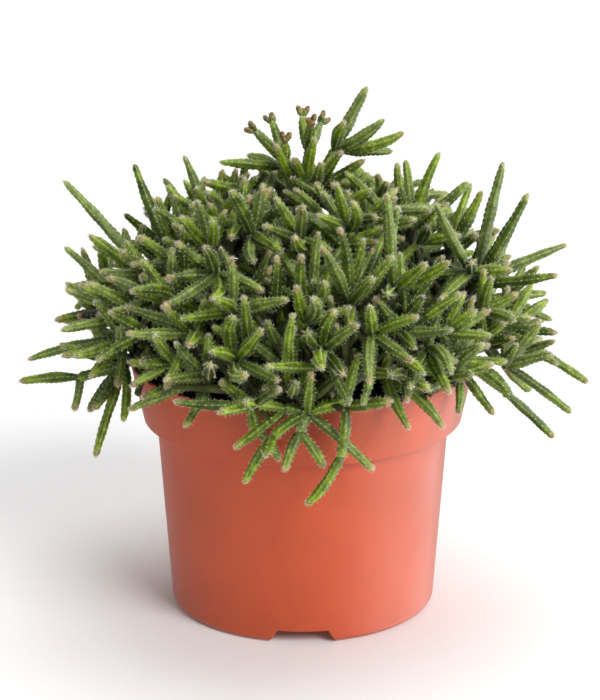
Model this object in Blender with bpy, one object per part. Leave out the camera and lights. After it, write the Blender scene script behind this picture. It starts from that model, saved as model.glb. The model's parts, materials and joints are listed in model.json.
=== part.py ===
"""A mistletoe cactus, Rhipsalis with bristly ribbed stems, in a round plastic nursery pot.

The origin is on the ground under the middle of the pot, +Z is up and -Y is the front.
The sizes below are in millimetres, and MM turns them into metres.
"""

import math
import random

import bmesh
import bpy
import numpy as np
from mathutils import Vector

MM = 0.001

# Pot
POT_HEIGHT = 88.2
RIM_RADIUS = 60.0
COLLAR_FOOT_RADIUS = 55.7
COLLAR_FOOT_HEIGHT = 67.6
SHOULDER_RADIUS = 51.2
BASE_RADIUS = 46.5
BASE_ROUNDING = 2.6
WALL = 1.2
FOOT_RING_OUTSIDE = 44.9
FOOT_RING_INSIDE = 43.5
FLOOR_UNDERSIDE = 5.2
POT_SIDES = 40
NOTCH_AZIMUTHS = (-90, 30, 150)
NOTCH_HEIGHT = 4.7
NOTCH_WIDTH_ABOVE = 17.3
NOTCH_WIDTH_BELOW = 23.0
DRAIN_RADIUS = 3.2
DRAIN_CIRCLE = 30.0
DRAIN_COUNT = 6

# Soil
SOIL_TOP = 76.0
SOIL_SIDES = POT_SIDES // 2
SOIL_BUMP = 0.9
GAP = 0.3

# Plant
STEM_RADIUS = 2.15
STALK_RADIUS = 1.7
ROOT_DEPTH = 14.0
ROOT_SPACING = 8.6
ROOT_REACH = 45.0
CLEARANCE = 0.7
RIDGES = 5
STRAIGHT_ENOUGH = 1.4
DOME_REACH = 93.0
DOME_BASE = 90.0
DOME_RISE = 66.0
FILL_LOWEST = 88.0
EXTRA_STEMS = 10
SEED = 13

# Bristles
BRISTLE_LENGTH = 2.6
BRISTLE_HALF_WIDTH = 0.22
BRISTLE_STEPS = (0.93,)
BRISTLE_EVERY = 2

# Colours, linear
TERRACOTTA = (0.56, 0.085, 0.042)
SOIL_BROWN = (0.020, 0.013, 0.009)
LEAF_GREEN = (0.085, 0.190, 0.022)

# Shoots that show from the front: the fork on top of the stalk, then each joint with the tips
# that stand out from it, in millimetres from the middle of the pot's foot
SHOOTS = {
    "crown": ((1, 5, 146), [
        ((-8, 5, 155), [(-28, -2, 158), (-19, 18, 156)]),
        ((-7, 3, 160), [(-20, -4, 173), (-12, 14, 173), (-6, -9, 170)]),
        ((2, 4, 161), [(0, 13, 176), (3, -12, 176), (8, 19, 171)]),
        ((11, 6, 161), [(22, 8, 182), (26, 3, 175), (34, 0, 170), (14, -10, 173), (26, -12, 167),
                        (31, 20, 157)]),
    ]),
    "front_base": ((1, -47, 90), [
        ((-4, -66, 95), [(-3, -82, 127)]),
        ((7, -64, 110), [(6, -96, 114), (17, -80, 123), (4, -84, 118), (11, -78, 124), (12, -86, 107),
                         (14, -82, 100)]),
    ]),
    "back_long": ((-3, 64, 100), [
        ((-4, 74, 98), [(-6, 96, 92), (8, 92, 104), (-18, 90, 100)]),
    ]),
    "upper_left": ((-33, 5, 134), [
        ((-33, 5, 134), [(-41, 12, 157), (-46, 3, 149), (-28, 14, 152)]),
    ]),
    "left_fan": ((-44, -2, 123), [
        ((-44, -2, 123), [(-58, 8, 155), (-49, -7, 147), (-49, 14, 150), (-56, -16, 134)]),
    ]),
    "left_high": ((-52, -4, 117), [
        ((-52, -4, 117), [(-82, 4, 150), (-73, -14, 136), (-72, 12, 128)]),
    ]),
    "left": ((-57, -8, 106), [
        ((-57, -8, 106), [(-82, 2, 127), (-80, -10, 116), (-81, -20, 110), (-78, 0, 103)]),
    ]),
    "left_low": ((-62, -20, 101), [
        ((-62, -20, 101), [(-95, -6, 89), (-81, -28, 97), (-77, -38, 100)]),
    ]),
    "left_trailer": ((-61, -22, 91), [
        ((-77, -14, 85), [(-98, -9, 82), (-79, -14, 73)]),
        ((-61, -22, 91), [(-70, -36, 64), (-73, -27, 77)]),
    ]),
    "rim_left": ((-30, -44, 95), [
        ((-30, -44, 95), [(-52, -58, 92), (-44, -52, 101), (-38, -66, 85)]),
    ]),
    "front_trailer": ((2, -66, 88), [
        ((-5, -64, 91), [(-22, -70, 79), (-16, -71, 94)]),
        ((2, -66, 88), [(23, -63, 69), (15, -73, 97), (6, -77, 110)]),
        ((-1, -67, 83), [(7, -66, 71), (-6, -67, 70)]),
        ((-9, -68, 80), [(-19, -64, 65), (-12, -78, 79)]),
    ]),
    "front_long": ((14, -65, 90), [
        ((11, -66, 75), [(-3, -63, 57)]),
    ]),
    "front_thin": ((-17, -64, 91), [
        ((-15, -65, 81), [(-8, -64, 70)]),
    ]),
    "rim_right": ((27, -48, 96), [
        ((27, -48, 96), [(34, -68, 85), (46, -64, 84), (48, -54, 92)]),
    ]),
    "right_trailer": ((52, -28, 94), [
        ((52, -28, 94), [(64, -36, 79), (52, -42, 82), (70, -16, 79)]),
        ((64, -24, 84), [(86, -22, 66)]),
    ]),
    "right_low": ((62, -12, 96), [
        ((70, -11, 89), [(93, -10, 71), (80, 2, 75)]),
        ((62, -12, 96), [(76, -28, 88)]),
    ]),
    "right": ((70, -10, 101), [
        ((70, -10, 101), [(99, -7, 81), (87, -14, 101), (86, -24, 93), (80, 4, 114), (83, -5, 111),
                          (68, -26, 92)]),
    ]),
    "right_high": ((60, -3, 116), [
        ((60, -3, 116), [(91, 2, 128), (86, -12, 121), (69, 7, 156), (77, -1, 145), (73, 14, 129)]),
    ]),
    "upper_right": ((38, 4, 134), [
        ((38, 4, 134), [(47, 8, 159), (33, 3, 157), (38, 14, 153), (57, 7, 149)]),
    ]),
    "right_fan": ((51, -2, 128), [
        ((51, -2, 128), [(59, 9, 149), (61, -3, 148), (46, -14, 142)]),
    ]),
    "front_left_high": ((-26, -22, 119), [
        ((-40, -30, 127), [(-54, -34, 140), (-48, -28, 139)]),
        ((-31, -32, 135), [(-39, -44, 149), (-29, -46, 148), (-36, -36, 150)]),
    ]),
    "front_left": ((-26, -30, 113), [
        ((-29, -44, 130), [(-31, -60, 143), (-41, -46, 141), (-44, -54, 131), (-42, -62, 127),
                           (-13, -58, 128), (-27, -66, 126)]),
        ((-43, -40, 120), [(-55, -54, 127), (-54, -60, 126)]),
    ]),
    "front_left_low": ((-21, -40, 96), [
        ((-37, -50, 111), [(-44, -58, 122), (-56, -62, 115), (-44, -66, 98), (-36, -72, 114)]),
        ((-22, -60, 105), [(-13, -78, 121), (-21, -80, 122), (-15, -88, 113), (-6, -84, 105),
                           (-29, -80, 114)]),
    ]),
    "front_star": ((-6, -22, 127), [
        ((-17, -30, 140), [(-23, -46, 158), (-13, -28, 156), (-21, -30, 153), (-7, -50, 139),
                           (-16, -50, 137)]),
        ((-1, -30, 138), [(0, -50, 154), (-4, -58, 147), (0, -62, 142), (-9, -34, 153)]),
    ]),
    "front_middle": ((-8, -40, 107), [
        ((-23, -54, 120), [(-5, -72, 129), (-28, -74, 130), (-24, -78, 125)]),
        ((1, -58, 118), [(-3, -74, 132), (0, -70, 141), (-6, -68, 138), (3, -76, 136), (1, -78, 134)]),
    ]),
    "front_right": ((16, -33, 110), [
        ((15, -50, 121), [(6, -60, 143), (10, -54, 148), (22, -72, 136), (27, -62, 139)]),
        ((30, -42, 124), [(27, -46, 157), (34, -42, 153), (39, -62, 138), (47, -54, 137),
                          (27, -66, 129)]),
    ]),
    "front_right_low": ((34, -38, 96), [
        ((22, -62, 115), [(34, -82, 112), (21, -76, 128), (36, -74, 124), (21, -86, 106),
                          (18, -80, 97)]),
        ((40, -52, 106), [(47, -68, 97), (48, -62, 102), (50, -54, 103), (34, -78, 102),
                          (43, -72, 91)]),
    ]),
    "front_right_high": ((26, -14, 120), [
        ((14, -24, 140), [(11, -32, 157), (5, -46, 150), (13, -48, 150), (23, -46, 147)]),
        ((58, -16, 123), [(44, -30, 150), (46, -44, 122), (40, -26, 149), (55, -42, 133)]),
    ]),
}

# Shoots behind and on top: how many, how far out their forks are, how high, the first and last
# azimuth, the limbs' lengths and how many tips each limb carries
RINGS = {
    "back_low": (5, 61, 99, 20, 160, (15, 21), 3),
    "back_middle": (4, 43, 120, 32, 148, (15, 21), 3),
    "top": (5, 22, 137, -20, 200, (9, 15), 3),
}


class Stem:
    """A stem between two joints: a curve with one bend, and a thickness."""

    def __init__(self, base, bend, tip, radius, kind, shoot):
        self.base = np.array(base, float)
        self.bend = np.array(bend, float)
        self.tip = np.array(tip, float)
        self.radius = radius
        self.kind = kind
        self.shoot = shoot
        self.children = 0

    def at(self, t):
        return (1 - t) ** 2 * self.base + 2 * t * (1 - t) * self.bend + t * t * self.tip

    def heading(self, t):
        return unit((1 - t) * (self.bend - self.base) + t * (self.tip - self.bend))

    def length(self):
        points = np.array([self.at(t) for t in (0, 0.25, 0.5, 0.75, 1)])
        return float(np.linalg.norm(np.diff(points, axis=0), axis=1).sum())

    def balls(self):
        """Points close together along the stem, and how far each is from its base."""
        length = self.length()
        count = max(3, int(length / 1.6))
        t = np.linspace(0, 1, count)[:, None]
        points = (1 - t) ** 2 * self.base + 2 * t * (1 - t) * self.bend + t * t * self.tip
        return points, t[:, 0] * length


class Thicket:
    """The stems that have grown, and the test that a new one is clear of them and of the pot."""

    def __init__(self):
        self.stems = []
        self.centres = np.zeros((0, 3))
        self.radii = np.zeros(0)
        self.owners = np.zeros(0, int)

    def add(self, stem, parent=None):
        points, _ = stem.balls()
        self.centres = np.vstack([self.centres, points])
        self.radii = np.append(self.radii, np.full(len(points), stem.radius))
        self.owners = np.append(self.owners, np.full(len(points), stem.shoot))
        self.stems.append(stem)
        if parent:
            parent.children += 1
        return stem

    def is_clear(self, stem, clearance=CLEARANCE, rooted=False, joint_length=6.5):
        """Stems of other shoots keep the clearance. Stems of one shoot meet only at their joint."""
        points, along = stem.balls()
        if not clear_of_pot(points, stem.radius, rooted):
            return False
        near = np.linalg.norm(self.centres - stem.at(0.5), axis=1) < 0.55 * stem.length() + 7
        centres = self.centres[near]
        reach = self.radii[near] + stem.radius
        own = self.owners[near] == stem.shoot
        gaps = np.linalg.norm(points[:, None] - centres[None], axis=2) - reach[None]
        others = gaps[:, ~own]
        if others.size and others.min() < clearance:
            return False
        siblings = gaps[along >= joint_length][:, own]
        return not (siblings.size and siblings.min() < 0.1)


def unit(vector):
    return vector / np.linalg.norm(vector)


def jitter(rng, x, y=None, z=None):
    sizes = (x, x if y is None else y, x if z is None else z)
    return np.array([rng.uniform(-1, 1) * size for size in sizes])


def pot_outside(z):
    """The pot's outer radius at a height."""
    collar = COLLAR_FOOT_RADIUS + (RIM_RADIUS - COLLAR_FOOT_RADIUS) * (
        (z - COLLAR_FOOT_HEIGHT) / (POT_HEIGHT - COLLAR_FOOT_HEIGHT))
    body = BASE_RADIUS + (SHOULDER_RADIUS - BASE_RADIUS) * z / COLLAR_FOOT_HEIGHT
    return np.where(z > COLLAR_FOOT_HEIGHT - 2, np.maximum(collar, COLLAR_FOOT_RADIUS), body)


def clear_of_pot(points, radius, rooted=False, clearance=CLEARANCE):
    out = np.hypot(points[:, 0], points[:, 1])
    z = points[:, 2]
    outside = out > pot_outside(z) + radius + clearance
    inside = out < pot_outside(z) - WALL - radius - clearance
    above = z > POT_HEIGHT + radius + clearance
    in_soil = (out < RIM_RADIUS) & (z < SOIL_TOP + SOIL_BUMP + radius + 1)
    return bool((outside | inside | above).all()) and (rooted or not in_soil.any())


def dome_share(point):
    """How far out a point lies: 0 in the heart of the bush and 1 on its dome."""
    rise = max(0.0, point[2] - DOME_BASE) / DOME_RISE
    return math.hypot(math.hypot(point[0], point[1]) / DOME_REACH, rise)


def plant_root(rng, roots, fork):
    """A place in the soil on the fork's side of the pot, clear of the other roots."""
    out = min(ROOT_REACH / 0.68, math.hypot(fork[0], fork[1]))
    azimuth = math.atan2(fork[1], fork[0])
    for attempt in range(400):
        radius = out * rng.uniform(0.68 - 0.0015 * attempt, 0.68)
        turn = azimuth + rng.uniform(-1, 1) * (0.05 + 0.004 * attempt + 0.02 * attempt / (radius + 2))
        place = np.array([radius * math.cos(turn), radius * math.sin(turn)])
        if all(np.linalg.norm(place - other) > ROOT_SPACING for other in roots):
            return place
    raise RuntimeError("no room in the soil for another root")


def raise_stalk(thicket, rng, roots, shoot, fork):
    """The old stem that carries a shoot. It arches over the rim where the fork hangs outside."""
    fork = np.array(fork, float)
    out = math.hypot(fork[0], fork[1])
    for attempt in range(300):
        root = plant_root(rng, roots, fork)
        base = np.array([root[0], root[1], SOIL_TOP - ROOT_DEPTH])
        if out > 50 and fork[2] < 100:
            bend = np.append(fork[:2] * (out - 8) / out, max(107.0, fork[2] + 19))
        else:
            bend = base * (0.72, 0.72, 0.35) + fork * (0.28, 0.28, 0.65)
        bend += jitter(rng, min(8.0, 0.15 * attempt))
        top = fork + jitter(rng, min(6.0, 0.04 * attempt))
        stalk = Stem(base, bend, top, STALK_RADIUS, "stalk", shoot)
        if thicket.is_clear(stalk, rooted=True):
            roots.append(root)
            return thicket.add(stalk)
    raise RuntimeError("no way up for stalk %d" % shoot)


def grow_to(thicket, rng, parent, target, radius, kind):
    """A stem to a target. Where that isn't clear, the target shifts, mostly in depth."""
    start = parent.at(0.97)
    for attempt in range(90):
        tip = np.array(target, float) + jitter(rng, 0.06, 0.14, 0.06) * attempt
        along = tip - start
        length = np.linalg.norm(along)
        bow = np.cross(along / length, unit(jitter(rng, 1))) * length * rng.uniform(0.02, 0.09)
        bow += jitter(rng, 0.08) * attempt
        bow[2] += 0.03 * length
        stem = Stem(start, start + 0.5 * along + bow, tip, radius, kind, parent.shoot)
        if thicket.is_clear(stem):
            return thicket.add(stem, parent)
    return None


def sprout(thicket, rng, parent, count, lengths, spread, kind="tip", at=0.97, clearance=CLEARANCE):
    """A whorl of stems round the parent's end, turned evenly about it and leaning outwards."""
    joint = parent.at(at)
    heading = parent.heading(at)
    outwards = unit(np.array([joint[0], joint[1], 1.15 * max(0.0, joint[2] - 84) + 4]))
    turn = rng.uniform(0, 2 * math.pi)
    made = []
    for i in range(count):
        for attempt in range(30):
            axis = unit(0.45 * heading + 0.55 * outwards + jitter(rng, 0.04 * attempt))
            side = unit(np.cross(axis, (0.3, 0.2, 1.0)))
            azimuth = turn + 2 * math.pi * i / count + rng.uniform(-0.4, 0.4)
            across = side * math.cos(azimuth) + np.cross(axis, side) * math.sin(azimuth)
            lean = math.radians(rng.uniform(*spread))
            way = axis * math.cos(lean) + across * math.sin(lean)
            length = rng.uniform(*lengths)
            tip = joint + way * length
            bow = unit(np.cross(way, jitter(rng, 1))) * length * rng.uniform(0, 0.1)
            radius = STEM_RADIUS * rng.uniform(0.86, 1.04)
            stem = Stem(joint, joint + 0.5 * length * way + bow, tip, radius, kind, parent.shoot)
            in_bush = dome_share(tip) < 1 and tip[2] > 82 and np.dot(way, outwards) > 0.25
            if in_bush and thicket.is_clear(stem, clearance):
                made.append(thicket.add(stem, parent))
                break
    return made


def fill_in(thicket, rng, count, lengths, clearance=CLEARANCE):
    """More stems, from joints that have room left."""
    made = 0
    for _ in range(40 * count):
        parent = rng.choice(thicket.stems)
        crowded = parent.children > 4 or parent.length() < 9
        outermost = parent.kind == "tip" and dome_share(parent.tip) > 0.8
        if crowded or outermost or parent.tip[2] < FILL_LOWEST:
            continue
        made += len(sprout(thicket, rng, parent, 1, lengths, (22, 70), clearance=clearance))
        if made >= count:
            return


def grow_bush():
    """Every shoot's stalk first, then its limbs and tips, so that no stalk finds its way barred."""
    rng = random.Random(SEED)
    thicket = Thicket()
    roots = []
    names = list(SHOOTS)
    forks = [fork for fork, _ in SHOOTS.values()]
    plans = []
    for ring, (count, out, height, first, last, lengths, tips) in RINGS.items():
        for i in range(count):
            azimuth = math.radians(first + (last - first) * i / (count - 1))
            names.append("%s_%d" % (ring, i + 1))
            forks.append((out * math.cos(azimuth), out * math.sin(azimuth), height))
            plans.append((lengths, tips))
    stalks = [raise_stalk(thicket, rng, roots, shoot, fork) for shoot, fork in enumerate(forks)]
    for stalk, (fork, joints) in zip(stalks, SHOOTS.values()):
        for joint, tips in joints:
            limb = stalk
            if joint != fork:
                limb = grow_to(thicket, rng, stalk, joint, 0.92 * STEM_RADIUS, "limb") or stalk
            for tip in tips:
                grow_to(thicket, rng, limb, tip, STEM_RADIUS * rng.uniform(0.92, 1.04), "tip")
    for stalk, (lengths, tips) in zip(stalks[len(SHOOTS):], plans):
        for limb in sprout(thicket, rng, stalk, 4, lengths, (34, 64), "limb"):
            sprout(thicket, rng, limb, tips, (16, 26), (24, 54))
    fill_in(thicket, rng, EXTRA_STEMS, (16, 26))
    return names, thicket


def clear_scene():
    for thing in list(bpy.data.objects):
        bpy.data.objects.remove(thing, do_unlink=True)


def material(name, colour, roughness):
    made = bpy.data.materials.new(name)
    made.use_nodes = True
    shader = made.node_tree.nodes["Principled BSDF"]
    shader.inputs["Base Color"].default_value = (*colour, 1)
    shader.inputs["Roughness"].default_value = roughness
    shader.inputs["Metallic"].default_value = 0
    return made


def new_object(name, mesh, look=None, collection=None):
    made = bpy.data.objects.new(name, mesh)
    (collection or bpy.context.scene.collection).objects.link(made)
    if look:
        mesh.materials.append(look)
    return made


def cutter_collection(name):
    made = bpy.data.collections.new(name)
    bpy.context.scene.collection.children.link(made)
    return made


def mesh_from(name, build):
    """A mesh that the function builds with bmesh."""
    shape = bmesh.new()
    build(shape)
    bmesh.ops.recalc_face_normals(shape, faces=shape.faces)
    mesh = bpy.data.meshes.new(name)
    shape.to_mesh(mesh)
    shape.free()
    return mesh


def combine(target, collection, operation):
    """One Boolean with everything in a collection, applied, after which the collection goes."""
    step = target.modifiers.new("combine", "BOOLEAN")
    step.operand_type = "COLLECTION"
    step.collection = collection
    step.operation = operation
    step.solver = "EXACT"
    graph = bpy.context.evaluated_depsgraph_get()
    mesh = bpy.data.meshes.new_from_object(target.evaluated_get(graph))
    target.modifiers.clear()
    target.data = mesh
    for thing in list(collection.objects):
        bpy.data.objects.remove(thing, do_unlink=True)
    bpy.data.collections.remove(collection)


def finish(target, sharp_degrees):
    """The Boolean's many-sided faces are split into triangles, and round sides are shaded smooth."""
    shape = bmesh.new()
    shape.from_mesh(target.data)
    bmesh.ops.triangulate(shape, faces=shape.faces)
    shape.to_mesh(target.data)
    shape.free()
    target.data.shade_smooth()
    target.data.set_sharp_from_angle(angle=math.radians(sharp_degrees))


def turned(shape, profile, sides):
    """A solid of revolution from (radius, height) points, which start and end on the axis."""
    rows = []
    for radius, height in profile:
        if radius == 0:
            rows.append([shape.verts.new((0, 0, height * MM))])
            continue
        turns = [2 * math.pi * i / sides for i in range(sides)]
        rows.append([shape.verts.new((radius * math.cos(a) * MM, radius * math.sin(a) * MM, height * MM))
                     for a in turns])
    for upper, lower in zip(rows, rows[1:]):
        for i in range(sides):
            ring = [upper[i % len(upper)], upper[(i + 1) % len(upper)],
                    lower[(i + 1) % len(lower)], lower[i % len(lower)]]
            shape.faces.new(list(dict.fromkeys(ring)))


def wedge(shape, azimuth):
    """The block that cuts one notch through the foot ring: wider below than above."""
    corners = []
    outline = ((-2, NOTCH_WIDTH_BELOW), (0, NOTCH_WIDTH_BELOW), (NOTCH_HEIGHT, NOTCH_WIDTH_ABOVE))
    for height, width in outline:
        for out in (BASE_RADIUS - 10, BASE_RADIUS + 6):
            corners.append([(out, -width / 2, height), (out, width / 2, height)])
    turn = math.radians(azimuth)
    points = [Vector(point) * MM for pair in corners for point in pair]
    made = [shape.verts.new((p.x * math.cos(turn) - p.y * math.sin(turn),
                             p.x * math.sin(turn) + p.y * math.cos(turn), p.z)) for p in points]
    bmesh.ops.convex_hull(shape, input=made)


def make_pot():
    profile = [
        (0, FLOOR_UNDERSIDE + WALL),
        (BASE_RADIUS - WALL + 0.1, FLOOR_UNDERSIDE + WALL),
        (SHOULDER_RADIUS - WALL, COLLAR_FOOT_HEIGHT + WALL),
        (COLLAR_FOOT_RADIUS - WALL, COLLAR_FOOT_HEIGHT + WALL),
        (RIM_RADIUS - WALL, POT_HEIGHT - 0.3),
        (RIM_RADIUS - 0.5 * WALL, POT_HEIGHT),
        (RIM_RADIUS, POT_HEIGHT - 0.3),
        (COLLAR_FOOT_RADIUS, COLLAR_FOOT_HEIGHT),
        (SHOULDER_RADIUS, COLLAR_FOOT_HEIGHT),
        (BASE_RADIUS + 0.2, BASE_ROUNDING),
        (BASE_RADIUS - 0.5, 0.28 * BASE_ROUNDING),
        (FOOT_RING_OUTSIDE, 0),
        (FOOT_RING_INSIDE, 0),
        (FOOT_RING_INSIDE, FLOOR_UNDERSIDE),
        (0, FLOOR_UNDERSIDE),
    ]
    mesh = mesh_from("pot", lambda shape: turned(shape, profile, POT_SIDES))
    pot = new_object("pot", mesh, material("terracotta_plastic", TERRACOTTA, 0.42))
    cutters = cutter_collection("pot_cutters")
    for azimuth in NOTCH_AZIMUTHS:
        block = mesh_from("notch", lambda shape: wedge(shape, azimuth))
        new_object("notch", block, collection=cutters)
    for i in range(DRAIN_COUNT):
        azimuth = 2 * math.pi * (i + 0.5) / DRAIN_COUNT
        bpy.ops.mesh.primitive_cylinder_add(
            vertices=8, radius=DRAIN_RADIUS * MM, depth=4 * WALL * MM,
            location=(DRAIN_CIRCLE * math.cos(azimuth) * MM, DRAIN_CIRCLE * math.sin(azimuth) * MM,
                      (FLOOR_UNDERSIDE + 0.5 * WALL) * MM))
        drain = bpy.context.object
        for home in list(drain.users_collection):
            home.objects.unlink(drain)
        cutters.objects.link(drain)
    combine(pot, cutters, "DIFFERENCE")
    finish(pot, 40)


def soil_height(x, y):
    """Low crumbly mounds."""
    bumps = math.sin(0.31 * x + 1.3) * math.cos(0.27 * y) + 0.6 * math.sin(0.53 * y + 0.4 * x)
    return SOIL_TOP + SOIL_BUMP * bumps / 1.6


def make_soil(stalks):
    inner_base = BASE_RADIUS - WALL + 0.1 - GAP
    inner_shoulder = SHOULDER_RADIUS - WALL - GAP
    shelf = COLLAR_FOOT_HEIGHT + WALL + GAP
    edge_height = SOIL_TOP - SOIL_BUMP
    share = (edge_height - COLLAR_FOOT_HEIGHT - WALL) / (POT_HEIGHT - COLLAR_FOOT_HEIGHT - WALL)
    edge = COLLAR_FOOT_RADIUS + (RIM_RADIUS - COLLAR_FOOT_RADIUS) * share - WALL - GAP
    profile = [
        (0, SOIL_TOP),
        (0.33 * edge, SOIL_TOP),
        (0.67 * edge, SOIL_TOP),
        (edge, edge_height),
        (COLLAR_FOOT_RADIUS - WALL - GAP, shelf),
        (inner_shoulder, shelf),
        (inner_base, FLOOR_UNDERSIDE + WALL + GAP),
        (0, FLOOR_UNDERSIDE + WALL + GAP),
    ]
    mesh = mesh_from("soil", lambda shape: turned(shape, profile, SOIL_SIDES))
    for vert in mesh.vertices:
        x, y, z = vert.co / MM
        if z > SOIL_TOP - 0.5:
            vert.co.z = soil_height(x, y) * MM
    soil = new_object("soil", mesh, material("potting_soil", SOIL_BROWN, 0.95))
    holes = cutter_collection("root_holes")
    for stalk in stalks:
        hole = mesh_from("hole", lambda shape: root_hole(shape, stalk))
        new_object("hole", hole, collection=holes)
    combine(soil, holes, "DIFFERENCE")
    finish(soil, 40)


def soil_exit(stalk):
    """How far along its curve a stalk has cleared the soil."""
    steps = np.linspace(0, 1, 200)
    return next(t for t in steps if stalk.at(t)[2] > SOIL_TOP + 4)


def frames(points):
    """A pair of axes across a line at each of its points, turned as little as possible."""
    ways = [unit(b - a) for a, b in zip(points, points[1:])]
    headings = [ways[0]] + [unit(a + b) for a, b in zip(ways, ways[1:])] + [ways[-1]]
    side = unit(np.cross(headings[0], (0.31, 0.95, 0.07)))
    pairs = []
    for heading in headings:
        side = unit(side - heading * np.dot(side, heading))
        pairs.append((side, np.cross(heading, side)))
    return pairs


def tube(shape, points, radii, tip=None):
    """A closed tube through the points, with a crisp ridge along each edge."""
    rings = []
    for point, (side, across), radius in zip(points, frames(points), radii):
        ring = []
        for i in range(RIDGES):
            azimuth = 2 * math.pi * i / RIDGES
            place = point + radius * (side * math.cos(azimuth) + across * math.sin(azimuth))
            ring.append(shape.verts.new(Vector(place * MM)))
        rings.append(ring)
    for near, far in zip(rings, rings[1:]):
        for i in range(RIDGES):
            j = (i + 1) % RIDGES
            shape.faces.new((near[i], near[j], far[j], far[i]))
    shape.faces.new(rings[0][::-1])
    if tip is None:
        shape.faces.new(rings[-1])
        return
    peak = shape.verts.new(Vector(tip * MM))
    for i in range(RIDGES):
        shape.faces.new((rings[-1][i], rings[-1][(i + 1) % RIDGES], peak))


def root_hole(shape, stalk):
    top = stalk.at(soil_exit(stalk))
    way = unit(top - stalk.base)
    radius = STALK_RADIUS + 1.35 * GAP
    tube(shape, [stalk.base - 1.35 * GAP * way, top], [radius, radius])


def is_bowed(stem):
    return np.linalg.norm(stem.at(0.5) - 0.5 * (stem.base + stem.tip)) > STRAIGHT_ENOUGH


def stalk_tube(shape, stalk):
    leave = soil_exit(stalk)
    shares = (0, 0.34, 0.67, 1) if stalk.bend[2] > stalk.tip[2] else (0, 0.5, 1)
    points = [stalk.base] + [stalk.at(leave + (1 - leave) * share) for share in shares]
    radii = [stalk.radius] * (len(points) - 1) + [1.15 * stalk.radius]
    tube(shape, points, radii, tip=points[-1] + 1.2 * stalk.heading(1))


def limb_tube(shape, limb):
    steps = (0, 0.5, 1) if is_bowed(limb) else (0, 1)
    radii = [0.85 * limb.radius for _ in steps]
    points = [limb.at(t) for t in steps]
    tube(shape, points, radii, tip=points[-1] + 1.2 * limb.heading(1))


def tip_tube(shape, stem):
    steps = (0, 0.5, 0.87) if is_bowed(stem) else (0, 0.76)
    shares = (0.62, 1.04, 0.7) if is_bowed(stem) else (0.68, 1)
    radii = [share * stem.radius for share in shares]
    tube(shape, [stem.at(t) for t in steps], radii, tip=stem.tip)


def bristle(shape, root, way):
    """A three-sided needle, rooted well inside the stem."""
    base = root - 1.1 * way
    side = unit(np.cross(way, (0.21, 0.32, 0.92)))
    across = np.cross(way, side)
    feet = []
    for i in range(3):
        azimuth = 2 * math.pi * i / 3
        place = base + 2 * BRISTLE_HALF_WIDTH * (side * math.cos(azimuth) + across * math.sin(azimuth))
        feet.append(shape.verts.new(Vector(place * MM)))
    peak = shape.verts.new(Vector((root + BRISTLE_LENGTH * way) * MM))
    shape.faces.new(feet[::-1])
    for i in range(3):
        shape.faces.new((feet[i], feet[(i + 1) % 3], peak))


def bristle_places(thicket):
    """Bristles near the end of each outer stem, turning on from stem to stem, where there is room."""
    places = {}
    points = np.zeros((0, 3))
    owners = np.zeros(0, int)
    rng = random.Random(SEED + 1)
    outer = [stem for stem in thicket.stems if stem.kind == "tip" and not stem.children]
    for number, stem in enumerate(outer[::BRISTLE_EVERY]):
        for step in BRISTLE_STEPS:
            heading = stem.heading(step)
            side = unit(np.cross(heading, (0.3, 0.2, 1.0)))
            for attempt in range(8):
                azimuth = 2.4 * number + rng.uniform(0, 2 * math.pi)
                out = side * math.cos(azimuth) + np.cross(heading, side) * math.sin(azimuth)
                way = unit(out + 0.6 * heading)
                root = stem.at(step) + 0.6 * stem.radius * out
                along = np.array([root + share * BRISTLE_LENGTH * way for share in (0.4, 0.7, 1)])
                gaps = np.linalg.norm(along[:, None] - thicket.centres[None], axis=2) - thicket.radii
                gaps = gaps[:, thicket.owners != stem.shoot]
                free = np.linalg.norm(points[owners != stem.shoot] - along[2], axis=1)
                if gaps.min() > 0.5 and (not free.size or free.min() > 2.5) and clear_of_pot(along, 0.2):
                    places.setdefault(stem.shoot, []).append((root, way))
                    points = np.vstack([points, along])
                    owners = np.append(owners, [stem.shoot] * 3)
                    break
    return places


def make_shoot(name, stems, bristles):
    builders = {"limb": limb_tube, "tip": tip_tube}
    stalk = next(stem for stem in stems if stem.kind == "stalk")
    green = tuple(share * (0.85 + 0.3 * random.Random(name).random()) for share in LEAF_GREEN)
    mesh = mesh_from(name, lambda shape: stalk_tube(shape, stalk))
    shoot = new_object("shoot_" + name, mesh, material("stems_" + name, green, 0.55))
    pieces = cutter_collection("pieces")
    for stem in stems:
        if stem.kind != "stalk":
            piece = mesh_from("stem", lambda shape: builders[stem.kind](shape, stem))
            new_object("stem", piece, collection=pieces)
    for root, way in bristles:
        needle = mesh_from("bristle", lambda shape: bristle(shape, root, way))
        new_object("bristle", needle, collection=pieces)
    combine(shoot, pieces, "UNION")
    finish(shoot, 50)


def main():
    clear_scene()
    names, thicket = grow_bush()
    bristles = bristle_places(thicket)
    make_pot()
    make_soil([stem for stem in thicket.stems if stem.kind == "stalk"])
    for shoot, name in enumerate(names):
        stems = [stem for stem in thicket.stems if stem.shoot == shoot]
        make_shoot(name, stems, bristles.get(shoot, []))


main()
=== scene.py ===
"""The looks of a potted mistletoe cactus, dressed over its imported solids.

Run as a script, it models each piece with Blender's own tools and sets it in a plain studio.
Settings are in metres. The growth rule repeats the one that shaped the solids: it works in
millimetres from the middle of the pot's foot, with +Z up and -Y in front, and MM turns them
into metres.
"""

import contextlib
import functools
import json
import math
import random

import bmesh
import bpy
import numpy as np
from bpy.props import FloatProperty, FloatVectorProperty, IntProperty, PointerProperty
from mathutils import Matrix, Vector

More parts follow.
